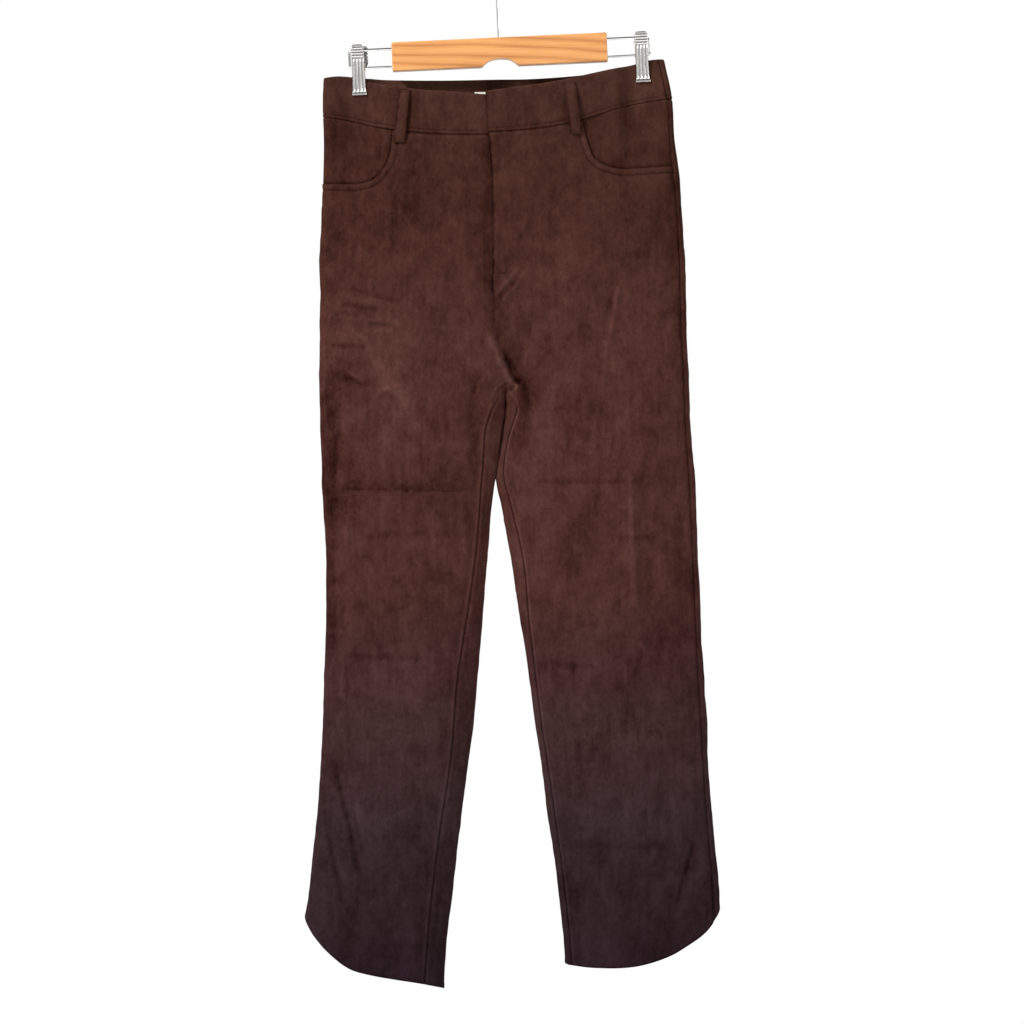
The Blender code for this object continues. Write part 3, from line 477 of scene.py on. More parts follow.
def waves(seed, count, shortest, longest):
    """A few soft waves of the plane, with seeded directions and phases."""
    pick = np.random.default_rng(seed)
    turns = pick.uniform(0, 2 * np.pi, count)
    long = np.exp(pick.uniform(np.log(shortest), np.log(longest), count))
    return np.cos(turns) / long, np.sin(turns) / long, pick.uniform(0, 2 * np.pi, count)


SWELLS = {face: waves(11 + face, 26, 38, 150) for face in (FRONT, BACK)}
RIPPLES = {face: waves(31 + face, 30, 11, 30) for face in (FRONT, BACK)}
UNEVEN = (
    # waves, size, and how many of them go down the cloth for each one across it
    (SWELLS, 0.45, 0.6),
    (RIPPLES, 0.09, 0.8),
)
UNEVEN_HIGH, CREASES_HIGH = 1.3, 1.4  # millimetres for each unit
CREASE_REACH = 4  # beyond this many widths a crease is flat


def uneven(face, x, drop):
    """The unevenness of hanging suede, from -1 to 1 or so, larger and smaller swells."""
    total = np.zeros(np.broadcast(x, drop).shape)
    for at in (FRONT, BACK):
        for sort, size, stretch in UNEVEN:
            across, down, phase = sort[at]
            angle = 2 * np.pi * (x[..., None] * across + drop[..., None] * down * stretch) + phase
            total += np.where(face == at, size * np.sin(angle).sum(-1) / math.sqrt(len(phase) / 2), 0.0)
    return total


def soft_lines(face, x, drop, rows):
    """The sum of soft lines; each row is a crease's with its face before it and its reach after it."""
    total = np.zeros(np.broadcast(x, drop).shape)
    for at, x0, d0, x1, d1, wide, high, lean, reach in rows:
        near = (face == at) & (x > min(x0, x1) - reach) & (x < max(x0, x1) + reach)
        near &= (drop > min(d0, d1) - reach) & (drop < max(d0, d1) + reach)
        if near.any():
            total[near] += crease(x[near], drop[near], x0, d0, x1, d1, wide, high, lean)
    return total


def creases(face, x, drop):
    return soft_lines(face, x, drop, [(*row, CREASE_REACH * row[5]) for row in CREASES])


def fine_relief(face, x, drop):
    return UNEVEN_HIGH * uneven(face, x, drop) + CREASES_HIGH * creases(face, x, drop)


def lengths(line):
    """How far along a line each of its points is."""
    return np.concatenate(([0], np.cumsum(np.linalg.norm(np.diff(line, axis=0), axis=1))))


def dense(line, step=0.25):
    """A line of points with more set between them."""
    out = [line[:1]]
    for a, b in zip(line[:-1], line[1:]):
        parts = max(1, int(np.linalg.norm(b - a) / step))
        out.append(a + (b - a) * (np.arange(1, parts + 1) / parts)[:, None])
    return np.concatenate(out)


def distance(points, line):
    """How far each point is from a line."""
    tree = KDTree(len(line))
    for i, p in enumerate(line):
        tree.insert(p, i)
    tree.balance()
    return np.array([tree.find(p)[2] for p in points.reshape(-1, 3)]).reshape(points.shape[:-1])


def grid_normals(points, way):
    down = np.gradient(points, axis=0)
    across = np.gradient(points, axis=1)
    return unit(np.cross(down, across)) * way


def link(data, name):
    made = bpy.data.objects.new(name, data)
    bpy.context.scene.collection.objects.link(made)
    return made


def quads_of(at):
    return np.stack((at[:-1, :-1], at[1:, :-1], at[1:, 1:], at[:-1, 1:]), -1).reshape(-1, 4)


def rim_of(at):
    """The points round a grid, in order."""
    return np.concatenate((at[0, :-1], at[:-1, -1], at[-1, :0:-1], at[:0:-1, 0]))


def grid_mesh(name, outer, inner, finish, half=False):
    """A closed wall between two grids of points; the inner one may have half as many rows and columns."""
    if half:
        inner = inner[::2, ::2]
    count = outer.shape[0] * outer.shape[1]
    at = np.arange(count).reshape(outer.shape[:2])
    under = np.arange(inner.shape[0] * inner.shape[1]).reshape(inner.shape[:2]) + count
    rim, low = rim_of(at), rim_of(under)
    turn, low_turn = np.roll(rim, -1), np.roll(low, -1)
    if half:
        sides = np.stack((rim[::2], turn[::2], np.roll(turn, -1)[::2], low_turn, low), -1)
    else:
        sides = np.stack((rim, turn, low_turn, low), -1)
    faces = quads_of(at).tolist() + quads_of(under)[:, ::-1].tolist() + sides.tolist()
    points = np.concatenate((outer.reshape(-1, 3), inner.reshape(-1, 3))) * MM
    mesh = bpy.data.meshes.new(name)
    mesh.from_pydata(points.tolist(), [], faces)
    mesh.update()
    work = bmesh.new()
    work.from_mesh(mesh)
    if work.calc_volume(signed=True) < 0:
        bmesh.ops.reverse_faces(work, faces=work.faces)
    work.to_mesh(mesh)
    work.free()
    mesh.shade_smooth()
    mesh.materials.append(finish)
    return link(mesh, "made_" + name)


def rounded(depth, thick):
    """Half of the wall's thickness at a distance from the cloth's edge."""
    t = np.clip(depth / (thick / 2), 0.0, 1.0)
    return thick / 2 * np.sqrt(np.maximum(1 - (1 - t) ** 2, 0.02))


def paint(made, values):
    """Keeps a tone at each point of a piece for its material: its painted shade and highlights, and on the
    cloth some of the nap's own tone.
    """
    layer = made.data.attributes.new("tone", "FLOAT", "POINT")
    layer.data.foreach_set("value", np.asarray(values, np.float32).ravel())


def steps(length, usual, tight):
    """Places from 0 to length, usually so far apart, and closer near each (place, reach, spacing)."""
    fine = np.linspace(0, length, int(length / 0.1) + 2)
    gap = np.full(len(fine), float(usual))
    for place, reach, spacing in tight:
        gap = np.minimum(gap, mix(spacing, usual, ease(0, reach, np.abs(fine - place))))
    run = np.concatenate(([0], np.cumsum(0.5 * (1 / gap[1:] + 1 / gap[:-1]) * np.diff(fine))))
    return np.interp(np.linspace(0, run[-1], int(run[-1]) + 1), run, fine)


# ---------------------------------------------------------------- materials


class Nodes:
    """A short way to add and join a material's nodes."""

    def __init__(self, name):
        self.made = bpy.data.materials.new(name)
        self.made.use_nodes = True
        self.tree = self.made.node_tree
        self.shader = self.tree.nodes["Principled BSDF"]
        self.place = self.add("ShaderNodeTexCoord").outputs["Object"]

    def add(self, kind, inputs=None, **settings):
        node = self.tree.nodes.new(kind)
        for key, value in settings.items():
            setattr(node, key, value)
        for key, value in (inputs or {}).items():
            self.put(node, key, value)
        return node

    def put(self, node, key, value):
        if isinstance(value, bpy.types.NodeSocket):
            self.tree.links.new(value, node.inputs[key])
        else:
            node.inputs[key].default_value = value

    def mapped(self, scale, turn=(0, 0, 0)):
        inputs = {"Vector": self.place, "Scale": scale, "Rotation": turn}
        return self.add("ShaderNodeMapping", inputs).outputs[0]

    def noise(self, scale, detail=4.0, rough=0.55, warp=0.0):
        """Noise from 0 to 1; scale is in bumps a metre along x, y and z."""
        where = self.mapped(scale)
        inputs = {"Vector": where, "Scale": 1.0, "Detail": detail, "Roughness": rough, "Distortion": warp}
        return self.add("ShaderNodeTexNoise", inputs).outputs["Fac"]

    def wave(self, axis, scale):
        inputs = {"Vector": self.place, "Scale": scale}
        return self.add("ShaderNodeTexWave", inputs, bands_direction=axis).outputs["Fac"]

    def own_tone(self):
        """What paint() keeps at each point."""
        return self.add("ShaderNodeAttribute", attribute_name="tone").outputs["Fac"]

    def sum(self, *terms):
        """Adds up (socket, factor, shift) terms, each (socket + shift) * factor."""
        total = None
        for socket, factor, shift in terms:
            moved = self.math("ADD", socket, shift)
            part = self.math("MULTIPLY", moved, factor)
            total = part if total is None else self.math("ADD", total, part)
        return total

    def math(self, operation, a, b=0.0):
        return self.add("ShaderNodeMath", {0: a, 1: b}, operation=operation).outputs[0]

    def ramp(self, value, stops):
        node = self.add("ShaderNodeValToRGB", {"Fac": value})
        band = node.color_ramp
        while len(band.elements) < len(stops):
            band.elements.new(0.5)
        for spot, (at, colour) in zip(band.elements, stops):
            spot.position = at
            spot.color = (*colour, 1)
        return node.outputs["Color"]

    def spread(self, value, low, high, source=(0.0, 1.0)):
        """The value moved from one range to another."""
        inputs = {"Value": value, "From Min": source[0], "From Max": source[1], "To Min": low, "To Max": high}
        return self.add("ShaderNodeMapRange", inputs).outputs[0]

    def bump(self, height, deep):
        inputs = {"Height": height, "Distance": deep * MM}
        return self.add("ShaderNodeBump", inputs).outputs["Normal"]

    def finish(self, colour, rough, normal=None, **sockets):
        self.put(self.shader, "Base Color", colour)
        self.put(self.shader, "Roughness", rough)
        if normal is not None:
            self.put(self.shader, "Normal", normal)
        for key, value in sockets.items():
            self.put(self.shader, key.replace("_", " "), value)
        return self.made


# The suede's colour from the waist down; its darkening towards the hem is painted shade where the light falls
# off.
SUEDE_SHADED_TONES = (
    # drop, colour
    (120, (0.0638, 0.0259, 0.0182)),
    (260, (0.0627, 0.0233, 0.0160)),
    (480, (0.0854, 0.0315, 0.0253)),
    (700, (0.0737, 0.0270, 0.0227)),
    (840, (0.0569, 0.0250, 0.0250)),
    (960, (0.0396, 0.0202, 0.0219)),
    (1130, (0.0229, 0.0115, 0.0155)),
)
NAP = 0.6  # brings the tones to the light of this scene


def suede(name, dim=1.0, warm=(1.0, 1.0, 1.0)):
    """Brushed suede: soft blotches, brushed streaks and a fine nap, each lighter or darker than the tone, and
    the painted shade and highlights kept at each point.
    """
    n = Nodes(name)
    height = n.add("ShaderNodeSeparateXYZ", {"Vector": n.place}).outputs["Z"]
    low, high = SUEDE_SHADED_TONES[-1][0], SUEDE_SHADED_TONES[0][0]
    level = n.spread(height, 0.0, 1.0, (-low * MM, -high * MM))
    stops = []
    for drop, colour in reversed(SUEDE_SHADED_TONES):
        shade = tuple(c * w * NAP * dim for c, w in zip(colour, warm))
        stops.append(((low - drop) / (low - high), shade))
    tone = n.ramp(level, stops)
    clouds = n.noise((13, 13, 8), 3, 0.55, 0.4)
    blotches = n.noise((46, 46, 34), 5, 0.6, 0.5)
    smudges = n.noise((95, 95, 62), 3, 0.6, 0.6)
    specks = n.noise((240, 240, 170), 2, 0.6, 0.2)
    brushed = n.noise((170, 170, 18), 3, 0.55)
    fine = n.noise((620, 620, 480), 2, 0.6)
    nap = n.noise((1900, 1900, 1500), 2, 0.6)
    value = n.sum(
        (clouds, 0.85, -0.5), (blotches, 1.0, -0.5), (smudges, 0.75, -0.5), (specks, 0.55, -0.5),
        (brushed, 0.45, -0.5), (fine, 0.45, -0.5), (nap, 0.3, -0.5), (n.own_tone(), 1.0, 1.0),
    )
    value = n.math("MAXIMUM", value, 0.12)
    # where the nap or its painted shade is darker it is also redder
    inputs = {"X": value, "Y": n.math("POWER", value, 1.25), "Z": n.math("POWER", value, 1.3)}
    shade = n.add("ShaderNodeCombineXYZ", inputs).outputs[0]
    colour = n.add("ShaderNodeVectorMath", {0: tone, 1: shade}, operation="MULTIPLY").outputs[0]
    rough = n.spread(blotches, 0.82, 0.98)
    pile = n.sum((fine, 0.55, 0.0), (nap, 0.45, 0.0))
    return n.finish(
        colour, rough, n.bump(pile, 0.06), Sheen_Weight=0.01, Sheen_Roughness=0.5,
        Sheen_Tint=(0.8, 0.42, 0.32, 1.0), Specular_IOR_Level=0.015,
    )


def thread_finish(name, dark, light):
    n = Nodes(name)
    twist = n.noise((900, 900, 900), 2, 0.5)
    colour = n.ramp(twist, ((0.3, dark), (0.7, light)))
    return n.finish(colour, 0.85, n.bump(twist, 0.1), Specular_IOR_Level=0.02)


def pine():
    n = Nodes("varnished_pine")
    bend_at = n.noise((3.0, 12, 12), 2, 0.5)
    across = n.add("ShaderNodeSeparateXYZ", {"Vector": n.mapped((1, 1, 1), (0, -TILT, 0))}).outputs["Z"]
    rings = n.sum((across, 330.0, 0.0), (bend_at, 9.0, -0.5))
    lines = n.math("ABSOLUTE", n.math("SINE", rings))
    fibre = n.noise((30, 900, 900), 3, 0.6)
    pores = n.noise((60, 2600, 2600), 2, 0.5)
    blush = n.noise((9, 40, 40), 2, 0.5)
    value = n.sum((lines, 0.42, 0.0), (fibre, 0.4, -0.5), (pores, 0.16, -0.5), (blush, 0.5, -0.25))
    colour = n.ramp(value, (
        (0.0, (0.34, 0.125, 0.034)), (0.3, (0.49, 0.208, 0.062)), (0.6, (0.59, 0.275, 0.09)),
        (1.0, (0.66, 0.345, 0.13)),
    ))
    return n.finish(
        colour, 0.42, n.bump(fibre, 0.08), Coat_Weight=0.25, Coat_Roughness=0.22, Specular_IOR_Level=0.4,
    )


def steel(name, bright, rough):
    """Plated steel, with painted shade where the tone says that it is hollow."""
    n = Nodes(name)
    smear = n.noise((180, 180, 60), 3, 0.6)
    value = n.sum((smear, 0.2, -0.5), (n.own_tone(), 1.0, 1.0))
    colour = n.add("ShaderNodeVectorMath", {0: bright, "Scale": value}, operation="SCALE").outputs["Vector"]
    polish = n.spread(smear, rough * 0.7, rough * 1.4)
    return n.finish(colour, polish, n.bump(smear, 0.05), Metallic=1.0)


def woven(name, dark, light, threads):
    """A plain weave with so many threads a metre."""
    n = Nodes(name)
    scale = threads / 6.3
    soft = n.noise((150, 150, 150), 3, 0.5)
    value = n.sum((n.wave("X", scale), 0.25, 0.0), (n.wave("Z", scale), 0.25, 0.0), (soft, 0.6, 0.0))
    return n.finish(n.ramp(value, ((0.15, dark), (0.85, light))), 0.85, n.bump(value, 0.12), Sheen_Weight=0.1)


SUEDE = suede("brown_suede")
POCKET = suede("pocket_suede", 0.94, (1.0, 0.96, 0.95))
THREAD = thread_finish("brown_thread", (0.016, 0.0062, 0.0045), (0.028, 0.0115, 0.0085))
TACK_THREAD = thread_finish("tack_thread", (0.03, 0.0115, 0.008), (0.052, 0.021, 0.0145))
PINE = pine()
STEEL = steel("bright_steel", (0.86, 0.84, 0.81), 0.16)
WIRE_STEEL = steel("wire_steel", (0.84, 0.83, 0.82), 0.14)
TAPE = woven("zip_tape", (0.02, 0.009, 0.007), (0.05, 0.024, 0.018), 900)
TEETH = steel("zip_metal", (0.45, 0.36, 0.24), 0.3)
LABEL = woven("label_weave", (0.55, 0.51, 0.44), (0.78, 0.75, 0.68), 1100)


# ---------------------------------------------------------------- cloth pieces

PIECES = {}


def keep(made, *nodes, slot="suede"):
    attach(made, "root")
    if nodes:
        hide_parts(*nodes)
    PIECES[nodes[0] if nodes else made.name] = made
    return made


USUAL = 2.1  # the usual distance between a panel's points
EDGE = (5, 0.35)  # near an edge, the reach and the closest spacing of the points


def catmull(points, parts):
    """A soft curve through the points of a short table."""
    p = np.array(points, float)
    ends = np.concatenate((2 * p[:1] - p[1:2], p, 2 * p[-1:] - p[-2:-1]))
    out = []
    for i in range(len(p) - 1):
        a, b, c, d = ends[i:i + 4]
        for t in np.arange(parts) / parts:
            curve = 2 * b + (c - a) * t + (2 * a - 5 * b + 4 * c - d) * t * t + (3 * b - a - 3 * c + d) * t**3
            out.append(curve / 2)
    return np.array(out + [p[-1]])


def panel_top(side, face, mouth):
    """The panel's upper edge as (share, drop) points, and how many of them lie on a pocket mouth."""
    if face == BACK:
        start = float(side_share(side, face, SEAM_LEVEL))
        b = np.concatenate((np.linspace(start, 0.15, 60), np.linspace(0.15, 1, 400)[1:]))
        return b, seam_at(side, face, b), 0
    start = float(side_share(side, FRONT, mouth[-2][1]))
    round_b = np.linspace(start, float(share_at(side, *mouth[-2])), 80)[:-1]
    curve = catmull(mouth[:-1], 24)[::-1]
    curve_b = share_at(side, curve[:, 0], curve[:, 1])
    waist_b = np.linspace(curve_b[-1], 1.0, 300)[1:]
    b = np.concatenate((round_b, curve_b, waist_b))
    drops = (mouth_at(side, mouth, round_b), curve[:, 1], seam_at(side, FRONT, waist_b))
    return b, np.concatenate(drops), len(round_b) + len(curve_b)


ACROSS = (589, 643, 662, 775, 784, 982)  # drops of the creases across the legs
ACROSS_NEAR = {FRONT: (11.0, 0.7), BACK: (11.0, 1.4)}  # the reach and spacing of the rows near them
TURNING = {FRONT: 210, BACK: 140}  # this over the usual distance is how many rows turn into the legs
TOP_ROWS = (0, 0.15, 0.4, 0.8, 1.5, 2.5, 3.6, 4.8, 5.9, 6.7, 7.4, 8.2, 9.3, 10.8, 12.5)  # drops from the top
LEG_WIDE = 215.0  # about a panel's width on a leg
LEGS_END, HEM_DEEP = 1015.0, 95  # where the level rows end, and how far it is from there to the hem
BACK_COARSER, LEG_COARSER = 1.3, 1.12  # how much further apart the points are there
LEFT_OUT = 12  # where one column too many is left out, counted from the inner edge
STEEP = (
    # side, face, place across the panel, reach, spacing: closer columns where creases run down a leg
    (LEFT, FRONT, 30, 30, 1.6),
    (RIGHT, FRONT, 38, 14, 1.4),
    (RIGHT, FRONT, 70, 14, 1.4),
    (LEFT, FRONT, LEG_WIDE, 22, 0.9),
    (RIGHT, FRONT, LEG_WIDE, 34, 0.8),
)


def panel_columns(side, face, mouth, usual):
    """Shares and drops of the columns' tops, their even places on the legs, and where the mouth ends."""
    top_b, top_drop, on_mouth = panel_top(side, face, mouth)
    line = skin(side, face, top_b, top_drop)
    run = lengths(line)
    corner = run[on_mouth - 1] if on_mouth else 0.0
    tight = [(0, *EDGE), (run[-1], *EDGE)] + ([(corner, 9, 0.7)] if on_mouth else [])
    at = steps(run[-1], usual, tight)
    closer = [row[2:] for row in STEEP if row[:2] == (side, face)]
    ends = steps(LEG_WIDE, LEG_WIDE / (len(at) * 0.82), [(0, *EDGE), (LEG_WIDE, *EDGE)] + closer)
    even = np.interp(np.linspace(0, 1, len(at)), np.linspace(0, 1, len(ends)), ends) / LEG_WIDE
    mouth_ends = int(np.searchsorted(at, corner)) if on_mouth else 0
    return np.interp(at, run, top_b), np.interp(at, run, top_drop), even, mouth_ends


def panel_grid(side, face, mouth=None):
    """Places of a body and leg panel's points, and the column that the mouth ends at."""
    usual = USUAL if face == FRONT else USUAL * BACK_COARSER
    shares, tops, even, mouth_ends = panel_columns(side, face, mouth, usual)
    rows = [tops + off for off in TOP_ROWS]
    first = rows[-1]
    count = max(6, int((HIP - first).max() / usual))
    rows += [mix(first, HIP, t) for t in np.arange(1, count + 1) / count]
    turns = np.radians(np.linspace(0, 90, int(TURNING[face] / usual)))
    turning = [JOIN + (CROTCH - JOIN) * math.sin(a) for a in turns]
    level = [(d - CROTCH, *ACROSS_NEAR[face]) for d in ACROSS] + [(0.0, 8.0, 0.8)]
    levels = list(np.arange(HIP, JOIN, usual)[1:]) + [d for d in turning if d < CROTCH - 0.45] + [CROTCH]
    levels += [CROTCH + d for d in steps(LEGS_END - CROTCH, usual * LEG_COARSER, level)[1:]]
    rows += [np.full(len(tops), d) for d in levels]
    places = []
    for drop in rows:
        share = mix(shares, mix(shares[0], 1.0, even), ease(HIP, 400.0, drop))
        t = (share - shares[0]) / (1.0 - shares[0])
        first_b, last_b = side_share(side, face, drop), inseam_share(side, face, drop)
        places.append((mix(first_b, 1.0, t) + (last_b - 1.0) * t * t, drop))
    last_b, last_drop = places[-1]
    hem = hem_drop(side, face, last_b)
    reach = steps(1.0, 1.0 / (HEM_DEEP / usual), [(1.0, 0.05, 0.003)])[1:]
    places += [(last_b, mix(last_drop, hem, t)) for t in reach]
    b, drops = (np.array([p[k] for p in places]) for k in (0, 1))
    if len(b) % 2 == 0:  # the inner face takes every second row and column
        b, drops = (np.delete(v, len(v) // 2, axis=0) for v in (b, drops))
    if b.shape[1] % 2 == 0:
        b, drops = (np.delete(v, v.shape[1] - LEFT_OUT, axis=1) for v in (b, drops))
    return b, drops, mouth_ends


# Darker and lighter places of the front: partly the nap's own uneven tone, partly painted shade in troughs and
# along folds.
PATCHES = (
    # x, drop, wide, tall, tone
    (-158, 476, 18, 16, -0.24),
    (-183, 600, 14, 170, -0.22),
    (-165, 215, 36, 36, -0.26),
    (-130, 160, 60, 30, -0.08),
    (140, 150, 60, 50, 0.2),
    (34, 480, 12, 30, -0.14),
    (-24, 490, 11, 34, -0.12),
    (26, 405, 26, 26, -0.08),
    (-62, 240, 34, 40, -0.07),
    (70, 300, 60, 60, 0.05),
    (-110, 300, 90, 120, -0.08),
    (-110, 650, 90, 90, -0.09),
    (-120, 950, 80, 90, 0.07),
    (160, 1000, 80, 80, -0.05),
    (200, 260, 20, 50, -0.05),
)


# Painted shade and painted highlights along creases and seams of the front, with its own reach on each side of
# the line.
SHADES = (
    # x, drop, to_x, to_drop, reach right of a falling line or above one to the right, other reach, tone
    (-178, 470, -177, 760, 4, 8, -0.2),
    (-168, 589, -36, 592, 12, 4, -0.14),
    (-168, 590, -34, 592, 1.1, 1.0, -0.16),
    (50, 583, 160, 582, 4.5, 6, -0.13),
    (-140, 643, -76, 641, 6, 5, -0.1),
    (128, 643, 180, 645, 5, 5, -0.08),
    (93, 663, 128, 661, 4, 4, -0.07),
    (-162, 774, -83, 777, 5, 4, -0.11),
    (81, 784, 107, 785, 4, 4, -0.08),
    (85, 981, 195, 983, 7, 5, -0.08),
    (4, 424, 12, 447, 15, 2.2, -0.13),
    (12, 447, 24, 474, 15, 2.2, -0.2),
    (8, 438, 24, 473, 1.8, 1.2, -0.16),
    (21, 472, 12, 473.5, 1.2, 1.2, -0.22),
    (12, 473.5, 3, 482, 1.2, 1.2, -0.26),
    (3, 482, -3, 495, 1.2, 1.2, -0.26),
    (11, 470.5, 0.5, 480, 1.3, 1.3, 0.26),
    (0.5, 480, -6, 494, 1.3, 1.3, 0.26),
    (12, 485, 10, 500, 2.0, 1.5, -0.2),
    (26, 476, 30, 500, 10, 3.0, -0.14),
    (-3, 424, 7, 450, 2.4, 3.0, 0.12),
    (7, 450, 18, 474, 2.0, 2.6, 0.18),
    (18, 470, 25, 478, 1.6, 1.6, 0.3),
    (25, 478, 18, 484, 1.4, 1.4, 0.25),
    (14, 479, 21, 482, 1.4, 1.4, -0.2),
    (-4, 212, -3, 262, 2.0, 3.5, -0.2),
    (-1, 352, -1, 420, 6, 8, -0.14),
    (-9, 210, -3, 350, 4, 9, -0.1),
    (6, 381, 30, 352, 2.2, 2.2, -0.12),
    (3, 375, 28, 346, 1.8, 1.8, 0.1),
    (149, 585, 151, 700, 3.5, 3.0, 0.1),
    (-84, 792, -74, 806, 2.0, 2.0, 0.14),
    (-82, 800, -80, 870, 9, 9, 0.06),
    (-64, 1025, -66, 1070, 2.2, 2.0, 0.14),
    (-61, 1025, -63, 1070, 2.2, 2.0, -0.18),
    (-174, 904, -163, 950, 2.4, 2.4, -0.17),
    (-163, 950, -152, 1006, 2.4, 2.4, -0.17),
    (-169, 902, -147, 1002, 2.0, 2.0, 0.15),
    (-163, 898, -146, 986, 1.4, 1.4, -0.13),
    (-184, 969, -169, 1040, 2.4, 2.4, -0.2),
    (-179, 966, -164, 1036, 2.0, 2.0, 0.14),
    (217, 982, 201, 1042, 2.4, 2.4, -0.18),
    (212, 980, 196, 1040, 2.0, 2.0, 0.14),
    (9, 491, 4.5, 536, 1.6, 1.6, 0.2),
)
SHADE_REACH = 40
CREASE_SHADE = 0.2  # the painted shade that a millimetre of trough gives, and the painted highlight that a millimetre of ridge gives
KNOT = (484, 500)  # where the crotch knot ends, in drops
FOLDED = (360, 400)  # from here to the crotch a fold hides the front's middle seam
INSEAM_HIGHLIGHT = {FRONT: 0.3, BACK: 0.06}  # how much lighter the painted highlight on the ridge beside an inseam is


def shade_and_nap(face, x, drop):
    """How much darker or lighter the cloth is painted at places: painted shade and highlights along creases
    and seams, and darker and lighter places, partly the nap's own tone, partly painted shade.
    """
    rows = []
    for *ends, one, other, tone in SHADES:
        rows.append((FRONT, *ends, (one + other) / 2, tone, (one - other) / (one + other), SHADE_REACH))
    total = soft_lines(face, x, drop, rows)
    total += CREASE_SHADE * np.clip(creases(face, x, drop), -2.0, 2.0)
    for x0, d0, wide, tall, tone in PATCHES:
        total += np.where(face == FRONT, tone * bell(x, wide, x0) * bell(drop, tall, d0), 0.0)
    return total


def edged(lift, tone, gap, key, shown=1.0):
    """Adds what an edge does to the cloth's form near it, and the painted shade and highlights near it."""
    for at, wide, high in EDGE_FORMS.get(key, ()):
        lift += shown * high * bell(gap, wide, at)
    for at, wide, dark in EDGE_LIGHT_AND_SHADE[key]:
        tone += shown * dark * bell(gap, wide, at)


def panel_edges(face, points, drop, mouth_ends):
    """A panel's edges as lines of points, and the rows of the crotch and of the fly's end."""
    crotch = int(np.argmin(np.abs(drop[:, -1] - CROTCH)))
    fly = int(np.argmin(np.abs(drop[:, -1] - FLY_END))) if face == FRONT else 0
    edges = {
        "side": points[:, 0],
        "inseam": points[crotch:, -1],
        "middle": points[fly:crotch + 1, -1],
        "waist": points[0, mouth_ends:],
        "hem": points[-1],
    }
    if mouth_ends:
        edges["mouth"] = points[0, :mouth_ends + 1]
    return edges, crotch, fly


def panel_look(face, seen, points, drop, gaps):
    """How far a panel's cloth lifts from its form, its painted tone (the nap's own, with painted shade and
    highlights), and where a fold hides its seam.
    """
    lift = fine_relief(seen, points[..., 0], drop)
    lift = lift * ease(0.0, 9.0, np.minimum(gaps["side"], gaps["inseam"]))  # the seams keep their form
    lift *= mix(0.35, 1.0, ease(0, 60, drop - drop[0][None, :]))  # and the waist hangs more evenly
    tone = shade_and_nap(seen, points[..., 0], drop)
    below_knot = ease(*KNOT, drop)  # the crotch knot covers the inseams' start
    for key, gap in gaps.items():
        edged(lift, tone, gap, key, below_knot if key == "inseam" else 1.0)
    # a painted highlight on the ridge beside the inseam
    tone += below_knot * INSEAM_HIGHLIGHT[face] * bell(gaps["inseam"], 1.2, 2.4)
    folded = ease(*FOLDED, drop) if face == FRONT else 0.0 * drop
    edged(lift, tone, gaps["middle"], "folded", folded)
    return lift, tone, folded


def build_panel(name, side, face, finish, mouth=None):
    b, drop, mouth_ends = panel_grid(side, face, mouth)
    points = skin(side, face, b, drop)
    seen = np.where((b < 0) | ((b > 1) & (drop >= CROTCH)), -face, face)
    normals = grid_normals(points, side * face)
    edges, crotch, fly = panel_edges(face, points, drop, mouth_ends)
    gaps = {key: distance(points, dense(line)) for key, line in edges.items()}
    near_middle = ease(5.0, 1.5, gaps["middle"])  # the two sides of the body meet squarely
    normals[..., 0] *= 1 - near_middle
    normals = unit(normals)
    lift, tone, folded = panel_look(face, seen, points, drop, gaps)
    gaps["middle"] += 2.0 * folded  # where these seams are covered their edges aren't rounded
    gaps["inseam"] += 2.0 * ease(500, 486, drop)
    rims = list(gaps.values())
    if face == FRONT:
        closing = distance(points, dense(points[:fly + 1, -1]))
        rims.append(closing)
        edged(lift, tone, closing, "closing_left" if side == LEFT else "closing_right")
        if side == LEFT:
            points[..., 0] += FLY_UNDER * ease(6.0, 0.0, closing)
    points = points + normals * lift[..., None]
    points[..., 0] -= side * 0.15 * near_middle
    corner = bell(np.linalg.norm(points - points[crotch, -1], axis=-1), 3.5)
    points += corner[..., None] * np.array((-side * 0.8, -face * 0.9, 0.0))  # draws the corner in and together
    half = rounded(np.minimum.reduce(rims), CLOTH)[..., None]
    middle = points - normals * CLOTH / 2
    made = grid_mesh(name, middle + normals * half, middle - normals * half, finish, half=True)
    paint(made, np.concatenate((tone.ravel(), np.zeros(len(made.data.vertices) - tone.size))))
    return keep(made, name)


build_panel("front_left", LEFT, FRONT, SUEDE, MOUTH_LEFT)
build_panel("front_right", RIGHT, FRONT, SUEDE, MOUTH_RIGHT)
build_panel("back_left", LEFT, BACK, SUEDE)
build_panel("back_right", RIGHT, BACK, SUEDE)


# ---------------------------------------------------------------- waistband, pockets, loops and inner pieces

EASED = 0.35  # how much of the cloth's unevenness the waistband and the pockets have
STITCHED = 4.6  # how far above its seam the waistband is stitched
BAND_USUAL, FINE_USUAL = USUAL * 0.9, USUAL * 0.8  # the usual distances between these pieces' points


def thick_cloth(name, points, normals, thick, finish, lift=0.0, tone=0.0, inside=0.0):
    """A wall of cloth below its outer points, with round edges."""
    rim = (points[0], points[:, -1], points[-1], points[:, 0])
    nearest = np.minimum.reduce([distance(points, dense(line)) for line in rim])
    points = points + normals * np.broadcast_to(lift, points.shape[:2])[..., None]
    half = rounded(nearest, thick)[..., None]
    middle = points - normals * thick / 2
    made = grid_mesh(name, middle + normals * half, middle - normals * half, finish)
    tone = np.broadcast_to(tone, points.shape[:2]).ravel()
    paint(made, np.concatenate((tone, tone * 0 + inside)))
    return made


